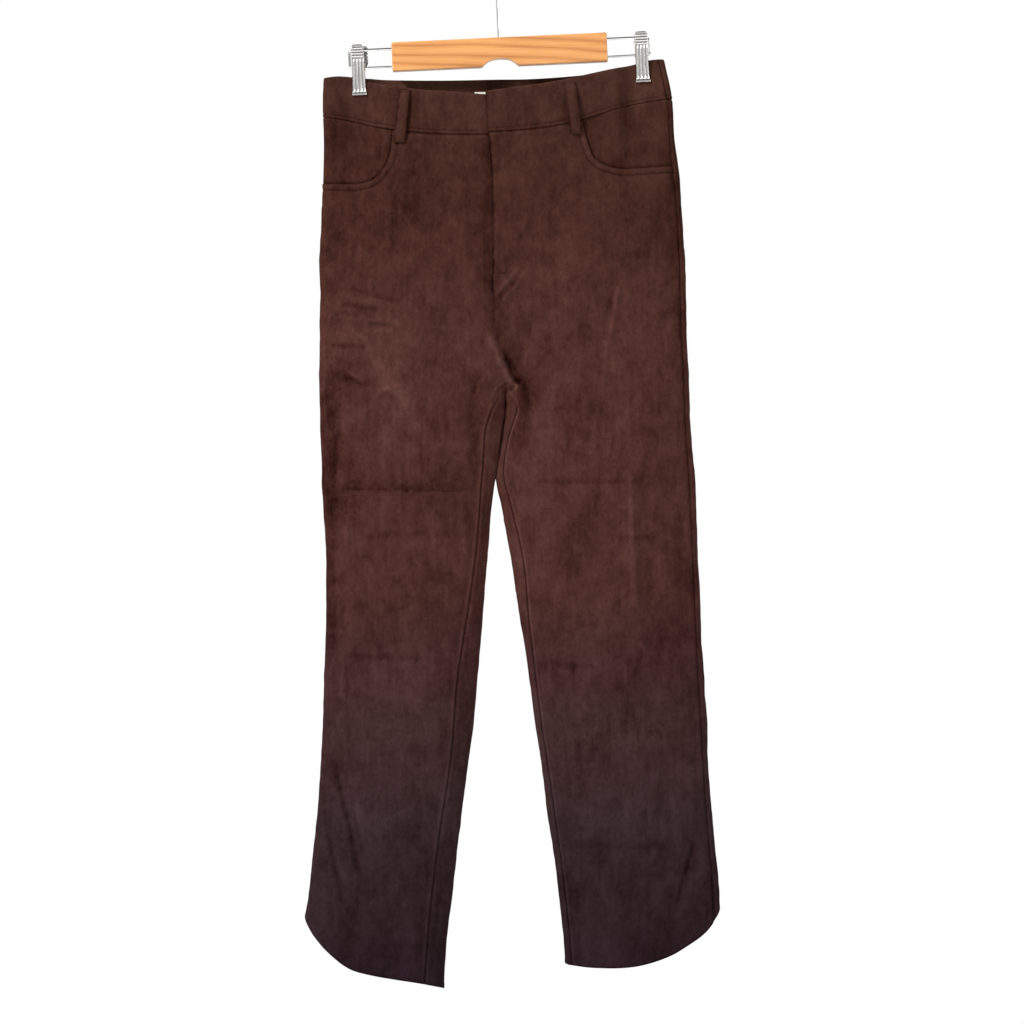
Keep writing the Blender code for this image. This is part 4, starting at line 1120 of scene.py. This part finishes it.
def band_half(side, face):
    """The waistband's places from the side seam to the middle: sides, shares and drops."""
    first = float(side_share(side, face, WAIST_LEVEL))
    b = np.linspace(first, 1.0, 400)
    run = lengths(skin(side, face, b, WAIST_LEVEL))
    b = np.interp(steps(run[-1], BAND_USUAL, [(0, *EDGE), (run[-1], *EDGE)]), run, b)
    top = top_edge(side, face, skin(side, face, b, WAIST_LEVEL)[..., 0])
    low = seam_at(side, face, b)
    across = steps(BACK_BAND_DEEP, FINE_USUAL, [(0, 5, 0.3), (BACK_BAND_DEEP, 7, 0.3)]) / BACK_BAND_DEEP
    drop = mix(top[None], low[None], across[:, None])
    t = (b - b[0]) / (1 - b[0])
    edge = side_share(side, face, drop)
    return np.full(drop.shape, side), mix(edge, 1.0, t[None]), drop


def band(name, face, halves):
    grids = [band_half(side, face) for side in halves]
    if len(grids) == 2:
        grids[1] = tuple(g[:, ::-1][:, 1:] for g in grids[1])
    side, b, drop = (np.concatenate(g, axis=1) for g in zip(*grids))
    points = skin(side, face, b, drop)
    normals = grid_normals(points, halves[0] * face)
    seen = np.where(b < 0, -face, face)
    to_top, to_seam, to_side, to_end = (
        distance(points, dense(line)) for line in (points[0], points[-1], points[:, 0], points[:, -1])
    )
    lift = EASED * fine_relief(seen, points[..., 0], drop)
    lift += 0.25 * bell(to_top, 5, 5) - 0.22 * bell(to_seam, 1.2, STITCHED)
    # painted shade in the seam's and the stitching's grooves and at the band's side and end, and a painted
    # highlight along its top edge
    tone = shade_and_nap(seen, points[..., 0], drop) - 0.42 * bell(to_seam, 1.3)
    tone += 0.15 * bell(to_top, 1.6) - 0.16 * bell(to_seam, 1.0, STITCHED)
    tone -= 0.3 * bell(to_side, 1.4) + (0.5 if face == FRONT else 0.3) * bell(to_end, 1.4)
    lift -= 0.4 * bell(to_side, 1.8)
    inside = -0.2
    if face == BACK:
        lift -= 0.4 * bell(to_end, 1.8)
        inside = mix(0.65, 0.05, ease(-70, 0, points[..., 0])).ravel()  # painted light on the inside, strongest to the left, where it shows behind the front
    elif halves[0] == LEFT:
        # a soft painted shadow beside the fly's closing
        tone -= 0.12 * bell(to_end, 7.0)
        points[..., 0] += FLY_UNDER * ease(6.0, 0.0, to_end)
    return keep(thick_cloth(name, points, normals, BAND, SUEDE, lift, tone, inside), name)


band("waistband_front_left", FRONT, (LEFT,))
band("waistband_front_right", FRONT, (RIGHT,))
band("waistband_back", BACK, (LEFT, RIGHT))

POCKET_SUNK = 1.9  # how far the pocket's cloth lies below the front's outer face
POCKET_LEVEL, POCKET_DEEP = 225.0, 60  # its middle, and about its depth


def pocket(name, side, mouth):
    """The cloth inside a scooped mouth, sunk below the front panel where it passes behind it."""
    line = catmull(mouth, 24)
    inner_b = float(share_at(side, mouth[0][0] - side * MOUTH_LAP * 0.8, 195.0))
    b = np.linspace(float(side_share(side, FRONT, 220.0)), inner_b, 300)
    run = lengths(skin(side, FRONT, b, POCKET_LEVEL))
    b = np.interp(steps(run[-1], FINE_USUAL, [(0, 4, 0.4)]), run, b)
    x = skin(side, FRONT, b, POCKET_LEVEL)[..., 0]
    gap = x[:, None] - line[None, :, 0]
    reach = np.sqrt(np.maximum(MOUTH_LAP**2 - gap**2, 0.0))
    low = np.where(np.abs(gap) < MOUTH_LAP, line[None, :, 1] + reach, 0.0).max(1)
    top = seam_at(side, FRONT, b)
    across = steps(1.0, FINE_USUAL / POCKET_DEEP, [(0, 0.08, 0.008)])
    drop = mix(top[None], low[None], across[:, None])
    t = (b - b[0]) / (b[-1] - b[0])
    places = mix(side_share(side, FRONT, drop), b[-1], t[None])
    points = skin(side, FRONT, places, drop)
    seen = np.where(places < 0, BACK, FRONT)
    normals = grid_normals(points, side * FRONT)
    edge = np.stack((line[:, 0], np.zeros(len(line)), line[:, 1]), -1)
    flat = np.stack((points[..., 0], np.zeros(drop.shape), drop), -1)
    to_mouth = distance(flat, dense(edge, 0.5))
    behind = (np.abs(points[..., 0]) < abs(mouth[0][0])) | (drop > along(mouth, points[..., 0]))
    sunk = POCKET_SUNK * np.where(behind, 1.0, 1 - ease(5.0, 36.0, to_mouth))
    sunk = sunk * mix(0.2, 1.0, ease(0.0, 9.0, np.abs(points[..., 0] - folds_of(side, drop)[0])))
    # painted shade along the mouth, where the pocket lies under the front's edge
    tone = shade_and_nap(seen, points[..., 0], drop) - 0.2 * bell(to_mouth, 4.5) - 0.5 * bell(to_mouth, 1.5)
    lift = EASED * fine_relief(seen, points[..., 0], drop) - sunk
    return keep(thick_cloth(name, points, normals, CLOTH, POCKET, lift, tone), name)


pocket("pocket_left", LEFT, MOUTH_LEFT)
pocket("pocket_right", RIGHT, MOUTH_RIGHT)


def spot_at(face, x, drop):
    """The place above the crotch that has this x."""
    side = np.where(x < section(drop)[2], LEFT, RIGHT)
    return side, face, share_at(side, x, drop), drop


LOOPS = (
    # name, face, x, drop, to_x, to_drop
    ("loop_front_left", FRONT, -98.5, 152.5, -104.5, 210),
    ("loop_front_right", FRONT, 81.5, 143.5, 89, 201),
    ("loop_back_left", BACK, -108, 142.5, -111, 197),
    ("loop_back_centre", BACK, -8, 141.5, -6, 195),
    ("loop_back_right", BACK, 98, 135.5, 103, 190),
)
LOOP_WIDE, LOOP_THICK, LOOP_STANDS = 13.0, 2.0, 1.8
LOOP_SEWN = 0.945  # the share of its length where its lower end is sewn
LOOP_SPACING = ((0.03, (0.06, 0.006)), (0.07, (0.2, 0.022)))  # along and across: usual, reach and closest
LOOP_LINES = {}
for name, face, x0, d0, x1, d1 in LOOPS:
    t, across = (steps(1.0, gap, [(end, *near) for end in (0, 1.0)]) for gap, near in LOOP_SPACING)
    t, across = t[:, None], across[None] - 0.5
    x = mix(x0, x1, t) + across * LOOP_WIDE
    drop = mix(d0, d1, t) + across * 0
    spot = spot_at(face, x, drop)
    out = outward(*spot)
    lift = 0.3 + LOOP_STANDS * ease(0.0, 0.3, t) * ease(1.0, 0.7, t) + 0 * across
    swell = -0.35 * bell(np.abs(across), 0.05, 0.36) + 0.15 * np.cos(np.pi * across)
    pressed = -0.5 * (bell(t, 0.02, 1 - LOOP_SEWN) + bell(t, 0.02, LOOP_SEWN))
    points = skin(*spot) + out * (lift + LOOP_THICK + swell + pressed)[..., None]
    # a painted highlight down the loop's middle, painted shade at its sides and in its grooves
    tone = 0.14 * bell(across, 0.22) - 0.45 * bell(np.abs(across), 0.1, 0.5) - 0.16 * (swell < -0.2) + 0 * t
    keep(thick_cloth(name, points, out, LOOP_THICK, SUEDE, 0.0, tone), name)
    LOOP_LINES[name] = (points, out)


def strip(name, face, x_from, x_to, d0, d1, under, thick, finish, slot, wave=0.0):
    """A strip inside the garment, from and to these distances across its middle line."""
    drop = steps(d1 - d0, 3.0, [(0, 3, 0.4), (d1 - d0, 3, 0.4)])[:, None] + d0
    across = steps(x_to - x_from, 2.4, [(0, 3, 0.3), (x_to - x_from, 3, 0.3)])[None] + x_from
    x = section(drop)[2] + across
    drop = drop + 0 * across
    spot = spot_at(face, x, drop)
    out = outward(*spot)
    under = under - wave * np.sin(drop / 9.0) * np.cos(across / 7.0)
    points = skin(*spot, lapped=False) - out * under[..., None]
    keep(thick_cloth(name, points, out, thick, finish), name, slot=slot)
    return points, out


UNDER_FRONT, UNDER_BAND = FLY_STEP + CLOTH + 0.3, BAND + 0.3
strip("fly_shield", FRONT, -18, 24, 206, 352, UNDER_FRONT + 1.5, CLOTH, SUEDE, "suede", 0.15)
zip_points, zip_out = strip("zip", FRONT, -15, 13, 207, 340, UNDER_FRONT, 1.0, TAPE, "tape")
label_points, label_out = strip("label", BACK, -12, 23, 152, 178, UNDER_BAND, 0.8, LABEL, "label_cloth", 0.1)


def bricks(name, places, ways, sizes, finish, slot, soft):
    """Small metal blocks at places; ways are their across, down and out directions."""
    work = bmesh.new()
    for place, way_at, size in zip(places, ways, sizes):
        turn = Matrix(np.array(way_at).T.tolist()).to_4x4()
        where = Matrix.Translation(Vector(place)) @ turn @ Matrix.Diagonal((*size, 1.0))
        bmesh.ops.create_cube(work, size=1, matrix=where)
    bmesh.ops.bevel(work, geom=list(work.edges), offset=soft, segments=1, affect="EDGES")
    bmesh.ops.scale(work, vec=(MM, MM, MM), verts=work.verts)
    mesh = bpy.data.meshes.new(name)
    work.to_mesh(mesh)
    work.free()
    mesh.materials.append(finish)
    return keep(link(mesh, name), slot=slot)


ZIP_LINE, ZIP_OUT = (v[:, v.shape[1] // 2] for v in (zip_points, zip_out))
ZIP_RUN = lengths(ZIP_LINE)
TOOTH, TOOTH_PITCH, TOOTH_ASIDE, TOOTH_SUNK = (2.9, 0.85, 1.5), 1.3, 0.7, 0.5
SLIDER = (
    # distance down the tape, size across, down and out, height over it: body, bridge and tab
    (8.0, (7.0, 9.0, 1.7), -0.6),
    (5.2, (4.0, 2.6, 0.5), 0.1),
    (15.0, (3.4, 14.0, 0.28), 0.16),
)


def along_zip(values, at):
    return np.array([np.interp(at, ZIP_RUN, values[:, k]) for k in range(3)])


def on_zip(at):
    """The tape's middle at a distance down it, with its across, down and out directions."""
    place, out = along_zip(ZIP_LINE, at), unit(along_zip(ZIP_OUT, at))
    down = unit(along_zip(ZIP_LINE, at + 1) - place + np.array((0, 0, -1e-6)))
    across = unit(np.cross(down, out))
    return place, (across, unit(np.cross(out, across)), out)


spots = [on_zip(at) for at in np.arange(6.0, ZIP_RUN[-1] - 3, TOOTH_PITCH)]
places = []
for i, (place, ways) in enumerate(spots):
    places.append(place - TOOTH_SUNK * ways[2] + TOOTH_ASIDE * (-1) ** i * ways[0])
sizes = [TOOTH] * len(spots)
zip_teeth = bricks("zip_teeth", places, [ways for _, ways in spots], sizes, TEETH, "bright_steel", 0.2)
spots = [on_zip(at) for at, _, _ in SLIDER]
places = [place + lift * ways[2] for (place, ways), (_, _, lift) in zip(spots, SLIDER)]
sizes = [size for _, size, _ in SLIDER]
zip_slider = bricks("zip_slider", places, [ways for _, ways in spots], sizes, TEETH, "bright_steel", 0.1)


# ---------------------------------------------------------------- sewing

def rods(name, lines, thick, finish, sides=6):
    """Small rods with narrow ends along lines of (points, outward directions), in one mesh."""
    points, faces = [], []
    angles = 2 * np.pi * np.arange(sides) / sides
    for line, out in lines:
        along_it = unit(np.gradient(line, axis=0))
        other = unit(np.cross(along_it, out))
        out = unit(np.cross(other, along_it))
        size = np.full(len(line), thick / 2)
        size[[0, -1]] *= 0.35
        ring = other[:, None] * np.cos(angles)[None, :, None] + out[:, None] * np.sin(angles)[None, :, None]
        at = np.arange(ring.shape[0] * sides).reshape(-1, sides) + sum(len(p) for p in points)
        points.append((line[:, None] + ring * size[:, None, None]).reshape(-1, 3))
        turn = np.roll(at, -1, axis=1)
        faces += np.stack((at[:-1], turn[:-1], turn[1:], at[1:]), -1).reshape(-1, 4).tolist()
        faces += [at[0, ::-1].tolist(), at[-1].tolist()]
    mesh = bpy.data.meshes.new(name)
    mesh.from_pydata((np.concatenate(points) * MM).tolist(), [], faces)
    mesh.shade_smooth()
    mesh.materials.append(finish)
    return mesh


MOUTH_SEWN = 7.0  # how far from a pocket mouth it is stitched


def surface(*names):
    """A search tree over some pieces' faces."""
    verts, polys = [], []
    for name in names:
        mesh = PIECES[name].data
        base = len(verts)
        verts += [v.co.copy() for v in mesh.vertices]
        polys += [tuple(base + i for i in p.vertices) for p in mesh.polygons]
    return BVHTree.FromPolygons(verts, polys)


def laid(tree, points, out):
    """Moves points on to the surface below them along their outward direction."""
    hits = [tree.ray_cast(Vector((p + o * 6) * MM), Vector(-o), 0.02)[0] for p, o in zip(points, out)]
    return np.array([p if hit is None else np.array(hit) / MM for p, hit in zip(points, hits)])


def stitched(tree, points, out, pitch=3.0, long=2.3):
    """Stitches along a line on a surface."""
    run = lengths(points)
    made = []
    for s in np.arange(0.4, run[-1] - long, pitch):
        at = s + long * np.array([0.0, 0.12, 0.5, 0.88, 1.0])
        p = np.stack([np.interp(at, run, points[:, k]) for k in range(3)], -1)
        o = unit(np.stack([np.interp(at, run, out[:, k]) for k in range(3)], -1))
        p = laid(tree, p, o)
        made.append((p + o * np.array([-0.25, 0.08, 0.16, 0.08, -0.25])[:, None], o))
    return made


def on_front(x, drop):
    spot = spot_at(FRONT, np.asarray(x, float), np.asarray(drop, float))
    return skin(*spot), outward(*spot)


SEWN, TACKS = [], []
MOUTHS = (
    # side, mouth, panel, drop that the stitches start at
    (LEFT, MOUTH_LEFT, "front_left", 200),
    (RIGHT, MOUTH_RIGHT, "front_right", 190),
)
for side, mouth, name, top in MOUTHS:
    line = catmull(mouth, 10)
    way = unit(np.gradient(line, axis=0)) * (1 if side == LEFT else -1)
    x, drop = (line + np.stack((way[:, 1], -way[:, 0]), -1) * MOUTH_SEWN).T
    shown = (np.abs(x) < np.abs(folds_of(side, drop)[0]) - 1.0) & (drop > top)
    SEWN += stitched(surface(name), *on_front(x[shown], drop[shown]))

fronts = surface("front_left", "front_right")
SEWN += stitched(fronts, *on_front(np.full(60, -12.0), np.linspace(262, 371, 60)))  # beside the closing
for drop in (352.6, 353.2, 353.8):  # the tacks at the fly's end
    TACKS += stitched(fronts, *on_front(np.linspace(-1.5, 13.5, 20), np.full(20, drop)), 2.6, 2.5)
TACKS += stitched(fronts, *on_front(np.full(12, 12.6), np.linspace(340, 353, 12)), 3.0, 2.3)

for face, names in ((FRONT, ("waistband_front_left", "waistband_front_right")), (BACK, ("waistband_back",))):
    tree = surface(*names)
    for side, first, last in ((LEFT, -178, -16), (RIGHT, 180, 0)):  # from x to x
        x = np.linspace(first, last, 160)
        drop = seam_drop(side, face, x) - STITCHED
        spot = (side, face, share_at(side, x, drop), drop)
        SEWN += stitched(tree, skin(*spot), outward(*spot))

for name, (points, out) in LOOP_LINES.items():
    tree = surface(name)
    middle = int(np.argmin(np.abs(np.linspace(0, 1, points.shape[0]) - LOOP_SEWN))) - 1
    for row in range(middle - 1, middle + 2):
        TACKS += stitched(tree, points[row, 2:-2], out[row, 2:-2], 2.9, 2.6)

tree = surface("label")
for c in (2, -3):  # columns near the label's two ends
    SEWN += stitched(tree, label_points[::-1, c], -label_out[::-1, c], 3.0, 2.2)

for name, bits, finish in (("stitching", SEWN, THREAD), ("bar_tacks", TACKS, TACK_THREAD)):
    keep(link(rods(name, bits, 0.55, finish), name))


# ---------------------------------------------------------------- hanger

BLOCK_LONG, BLOCK_HIGH, BLOCK_Z = 237.0, 32.0, -109.5
WIRE, WIRES_APART, WIRE_END = 3.0, 19.5, 165.5  # the hairpin wires, and how far out they reach
WIRE_Z, WIRE_IN, WIRE_BEND = -110.0, 22.0, 4.0
HOOK_WIRE, HOOK_IN, RAIL = 3.6, 18.0, 42.0
NECK_TURN, TIP_TURN = -55, 205  # where round the ring the hook's neck joins it, and where its tip is
NECK_FOOT = ((0, -54), (0, -46))  # where the neck starts to bend
NECK_SOFT = 7  # how softly it meets the ring
TILTED = Matrix.Rotation(-TILT, 4, "Y")

for name, finish in (("hanger_block", PINE), ("hook_bar", STEEL)):
    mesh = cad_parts[name].data
    mesh.materials.clear()
    mesh.materials.append(finish)


def arc(centre, radius, start, end, parts):
    angles = np.radians(np.linspace(start, end, parts + 1))
    return [(centre[0] + radius * math.cos(a), centre[1] + radius * math.sin(a)) for a in angles]


def wire(name, points, thick):
    """A bent wire through (x, z) points of the upright hanger, narrower at its last point."""
    curve = bpy.data.curves.new("made_" + name, "CURVE")
    curve.dimensions = "3D"
    line = curve.splines.new("POLY")
    line.points.add(len(points) - 1)
    for spot, (x, z) in zip(line.points, points):
        spot.co = (x * MM, 0, z * MM, 1)
    line.points[-1].radius = 0.55
    curve.bevel_depth = thick / 2 * MM
    curve.bevel_resolution = 6
    curve.use_fill_caps = True
    curve.materials.append(WIRE_STEEL)
    curve.transform(TILTED)
    return keep(link(curve, "made_" + name), name, slot="bright_steel")


for side, name in ((LEFT, "wire_left"), (RIGHT, "wire_right")):
    start, bend, up = BLOCK_LONG / 2 - WIRE_IN, WIRE_END - WIRE_BEND, WIRES_APART / 2
    path = [(start, up)] + arc((bend, up - WIRE_BEND), WIRE_BEND, 90, 0, 12)
    path += arc((bend, WIRE_BEND - up), WIRE_BEND, 0, -90, 12) + [(start, -up)]
    wire(name, [(side * x, WIRE_Z + z) for x, z in path], WIRE)

ring, ring_z = (RAIL + HOOK_WIRE) / 2, -RAIL / 2
join = arc((0, ring_z), ring, NECK_TURN, NECK_TURN, 1)[0]
before = NECK_SOFT * math.sin(math.radians(NECK_TURN)), -NECK_SOFT * math.cos(math.radians(NECK_TURN))
neck = (*NECK_FOOT, (join[0] + before[0], join[1] + before[1]), join)
path = [(0, BLOCK_Z + BLOCK_HIGH / 2 - HOOK_IN)]
for t in np.linspace(0, 1, 21):
    weights = ((1 - t) ** 3, 3 * t * (1 - t) ** 2, 3 * t * t * (1 - t), t**3)
    path.append(tuple(sum(w * p[k] for w, p in zip(weights, neck)) for k in (0, 1)))
wire("hook", path + arc((0, ring_z), ring, NECK_TURN, TIP_TURN, 72)[1:], HOOK_WIRE)

# A clip's plates by their rise above the pin: gap from the middle plane and half width.
CLIP_FORM = (
    # rise, gap, half_wide
    (15.3, 10.2, 4.6),
    (14.6, 10.5, 6.0),
    (13.4, 10.5, 6.8),
    (12.6, 10.3, 7.0),
    (7.1, 9.3, 7.0),
    (1.0, 8.1, 7.0),
    (-1.5, 7.7, 7.0),
    (-12, 6.3, 7.1),
    (-24, 4.6, 7.4),
    (-34, 3.2, 7.8),
    (-36.5, 3.2, 8.0),
    (-38.3, 3.5, 8.4),
    (-39.5, 4.0, 8.4),
)
PLATE = 0.8
RIB_AT, RIB_HIGH, RIB_WIDE = (11.4, 8.5, 5.6, 2.7), 0.85, 1.05
FLUTE_HIGH, FLUTES = 0.85, 4
PLATE_ROWS = ((15.3, 0.8, 59), (0.4, -35.2, 20), (-35.6, -39.5, 16))  # from rise to rise: lever, jaw, lip
BACK_SKEW = {LEFT: 4.0, RIGHT: 0.0}  # how far the back lever stands aside
EARS_AT, EAR = 5.6, (0.8, 16.6, WIRES_APART - WIRE - 0.5)
PIN, PIN_LONG = 1.4, 13.4
COIL, COIL_WIRE, COIL_LONG, COIL_TURNS = 2.3, 0.9, 8.8, 8


def form(rise, column):
    """A column of the clip's table at a rise."""
    rises = [-r[0] for r in CLIP_FORM]
    return np.interp(-rise, rises, [r[column] for r in CLIP_FORM])


def clip_plate(x0, face, skew):
    """One sprung plate: ribs across the lever, flutes down the jaw, a flared lip and bent-back sides."""
    rise = np.concatenate([np.linspace(*rows) for rows in PLATE_ROWS])[:, None]
    u = np.concatenate(([-1.0, -0.985, -0.95], np.linspace(-0.92, 0.92, 49), [0.95, 0.985, 1.0]))[None]
    ribs = np.zeros(rise.shape) + 0 * u
    for at in RIB_AT:
        ribs = np.maximum(ribs, np.maximum(1 - ((rise - at) / RIB_WIDE) ** 2, 0.0) ** 0.7)
    ribs = ribs * (0.82 + 0.18 * np.cos(2 * np.pi * FLUTES / 2 * (u + 1) + np.pi))
    flutes = (0.5 - 0.5 * np.cos(2 * np.pi * FLUTES * (u + 1) / 2)) ** 0.8 + 0 * rise
    jaw = ease(1.0, -0.6, rise) * ease(-36.6, -35.4, rise)
    lip = 0.5 * bell(rise, 1.1, -37.9)
    lever = ease(0.8, 1.6, rise)
    high = RIB_HIGH * ribs * lever + FLUTE_HIGH * flutes * jaw + lip
    sides = np.maximum((np.abs(u) - 0.9) / 0.1, 0.0) ** 2 * 1.5
    aside = skew * ease(-14, -2, rise)
    x, z = x0 + aside + form(rise, 2) * u, WIRE_Z + rise + 0 * u
    gap = form(rise, 1) - sides
    outer = np.stack((x, face * (gap + PLATE + high), z), -1)
    inner = np.stack((x, face * (gap + 0.35 * high), z), -1)
    # painted shade in the grooves between the ribs and between the flutes
    dark = -0.45 * (1 - flutes) * jaw - 0.5 * (1 - ribs) * lever * ease(13.4, 12.6, rise)
    return outer, inner, dark


def clip_ears(name, x0):
    """A clip's two side plates and its pin."""
    work = bmesh.new()
    for end in (-1, 1):
        place = Matrix.Translation((x0 + end * EARS_AT, 0, WIRE_Z)) @ Matrix.Diagonal((*EAR, 1))
        bmesh.ops.create_cube(work, size=1, matrix=place)
    place = Matrix.Translation((x0, 0, WIRE_Z)) @ Matrix.Rotation(math.pi / 2, 4, "Y")
    pin = {"radius1": PIN, "radius2": PIN, "depth": PIN_LONG}
    bmesh.ops.create_cone(work, cap_ends=True, segments=28, **pin, matrix=place)
    edges = [e for e in work.edges if e.calc_length() > 3]
    bmesh.ops.bevel(work, geom=edges, offset=0.25, segments=2, affect="EDGES")
    bmesh.ops.scale(work, vec=(MM, MM, MM), verts=work.verts)
    mesh = bpy.data.meshes.new(f"{name}_ears")
    work.to_mesh(mesh)
    work.free()
    mesh.materials.append(STEEL)
    return mesh


def clip_spring(name, x0):
    turn = np.linspace(0, 2 * np.pi * COIL_TURNS, 12 * COIL_TURNS + 1)
    out = np.stack((0 * turn, np.sin(turn), np.cos(turn)), -1)
    line = out * COIL + np.array((x0 - COIL_LONG / 2, 0, WIRE_Z))
    line[:, 0] += np.linspace(0, COIL_LONG, len(turn))
    return rods(f"{name}_spring", [(line, out)], COIL_WIRE, STEEL, 8)


for side, name in ((LEFT, "clip_left"), (RIGHT, "clip_right")):
    x0 = side * CLIP_AT
    parts = []
    for face in (FRONT, BACK):
        outer, inner, dark = clip_plate(x0, face, BACK_SKEW[side] if face == BACK else 0.0)
        plate = grid_mesh(f"{name}_plate", outer, inner, STEEL)
        # painted shade on the plate's inner face
        paint(plate, np.concatenate((dark.ravel(), np.full(dark.size, -0.35))))
        parts.append(plate)
    # painted shade on the side plates, the pin and the spring, which lie between the plates
    for mesh, dark in ((clip_ears(name, x0), -0.5), (clip_spring(name, x0), -0.3)):
        parts.append(link(mesh, "made_" + mesh.name))
        paint(parts[-1], np.full(len(mesh.vertices), dark))
    whole = parts[0]
    with bpy.context.temp_override(active_object=whole, selected_editable_objects=parts):
        bpy.ops.object.join()
    whole.data.transform(TILTED)
    whole.name = "made_" + name
    keep(whole, name, slot="bright_steel")


# ---------------------------------------------------------------- camera, light and floor

EYE = 4.6  # how far the camera stands from the cloth's middle plane, in metres
VIEW = 1.1264  # what the picture's side spans there
camera = bpy.data.cameras.new("camera")
camera.lens = camera.sensor_width * EYE / VIEW
camera.clip_end = 50.0
eye = link(camera, "camera")
eye.location = (0.0187, -EYE, -0.6149)
eye.rotation_euler = (math.radians(90), 0, 0)
bpy.context.scene.camera = eye

world = bpy.data.worlds.new("studio")
world.use_nodes = True
tree = world.node_tree
background = tree.nodes["Background"]
background.inputs["Color"].default_value = (1, 1, 1, 1)
way = tree.nodes.new("ShaderNodeSeparateXYZ")
tree.links.new(tree.nodes.new("ShaderNodeTexCoord").outputs["Generated"], way.inputs[0])
both = tree.nodes.new("ShaderNodeMath")
both.operation = "MULTIPLY"
# A white studio, dimmer overhead and on the viewer's side.
DIMMING = (
    # axis, from, to, strength at the first and at the second
    ("Z", 0.14, 0.55, 1.0, 0.12, "SMOOTHSTEP"),
    ("Y", -0.4, 0.4, 0.55, 1.0, "LINEAR"),
)
for at, (axis, *values, kind) in enumerate(DIMMING):
    dimming = tree.nodes.new("ShaderNodeMapRange")
    dimming.interpolation_type = kind
    for key, value in zip(("From Min", "From Max", "To Min", "To Max"), values):
        dimming.inputs[key].default_value = value
    tree.links.new(way.outputs[axis], dimming.inputs["Value"])
    tree.links.new(dimming.outputs[0], both.inputs[at])
tree.links.new(both.outputs[0], background.inputs["Strength"])
bpy.context.scene.world = world
bpy.context.scene.view_settings.view_transform = "Standard"

LAMPS = (
    # name, place, size, watts
    ("key", (-2.5, -2.0, 2.6), 0.7, 330.0),
    ("fill", (2.6, -2.0, 0.6), 1.6, 40.0),
    ("behind", (1.6, 2.6, 1.8), 1.2, 110.0),
)
AIM = Vector((0.0, 0.0, -0.6))
for name, place, size, watts in LAMPS:
    lamp = bpy.data.lights.new(name, "AREA")
    lamp.size = size
    lamp.energy = watts
    holder = link(lamp, name)
    holder.location = place
    holder.rotation_euler = (AIM - Vector(place)).to_track_quat("-Z", "Y").to_euler()

FLOOR_Z = -1.32
floor_mesh = bpy.data.meshes.new("floor")
corners = [(x, y, FLOOR_Z) for x, y in ((-4, -4), (4, -4), (4, 1), (-4, 1))]
floor_mesh.from_pydata(corners, [], [(0, 1, 2, 3)])
floor_mesh.materials.append(Nodes("pale_floor").finish((0.9, 0.9, 0.9, 1), 0.8))
floor = link(floor_mesh, "floor")
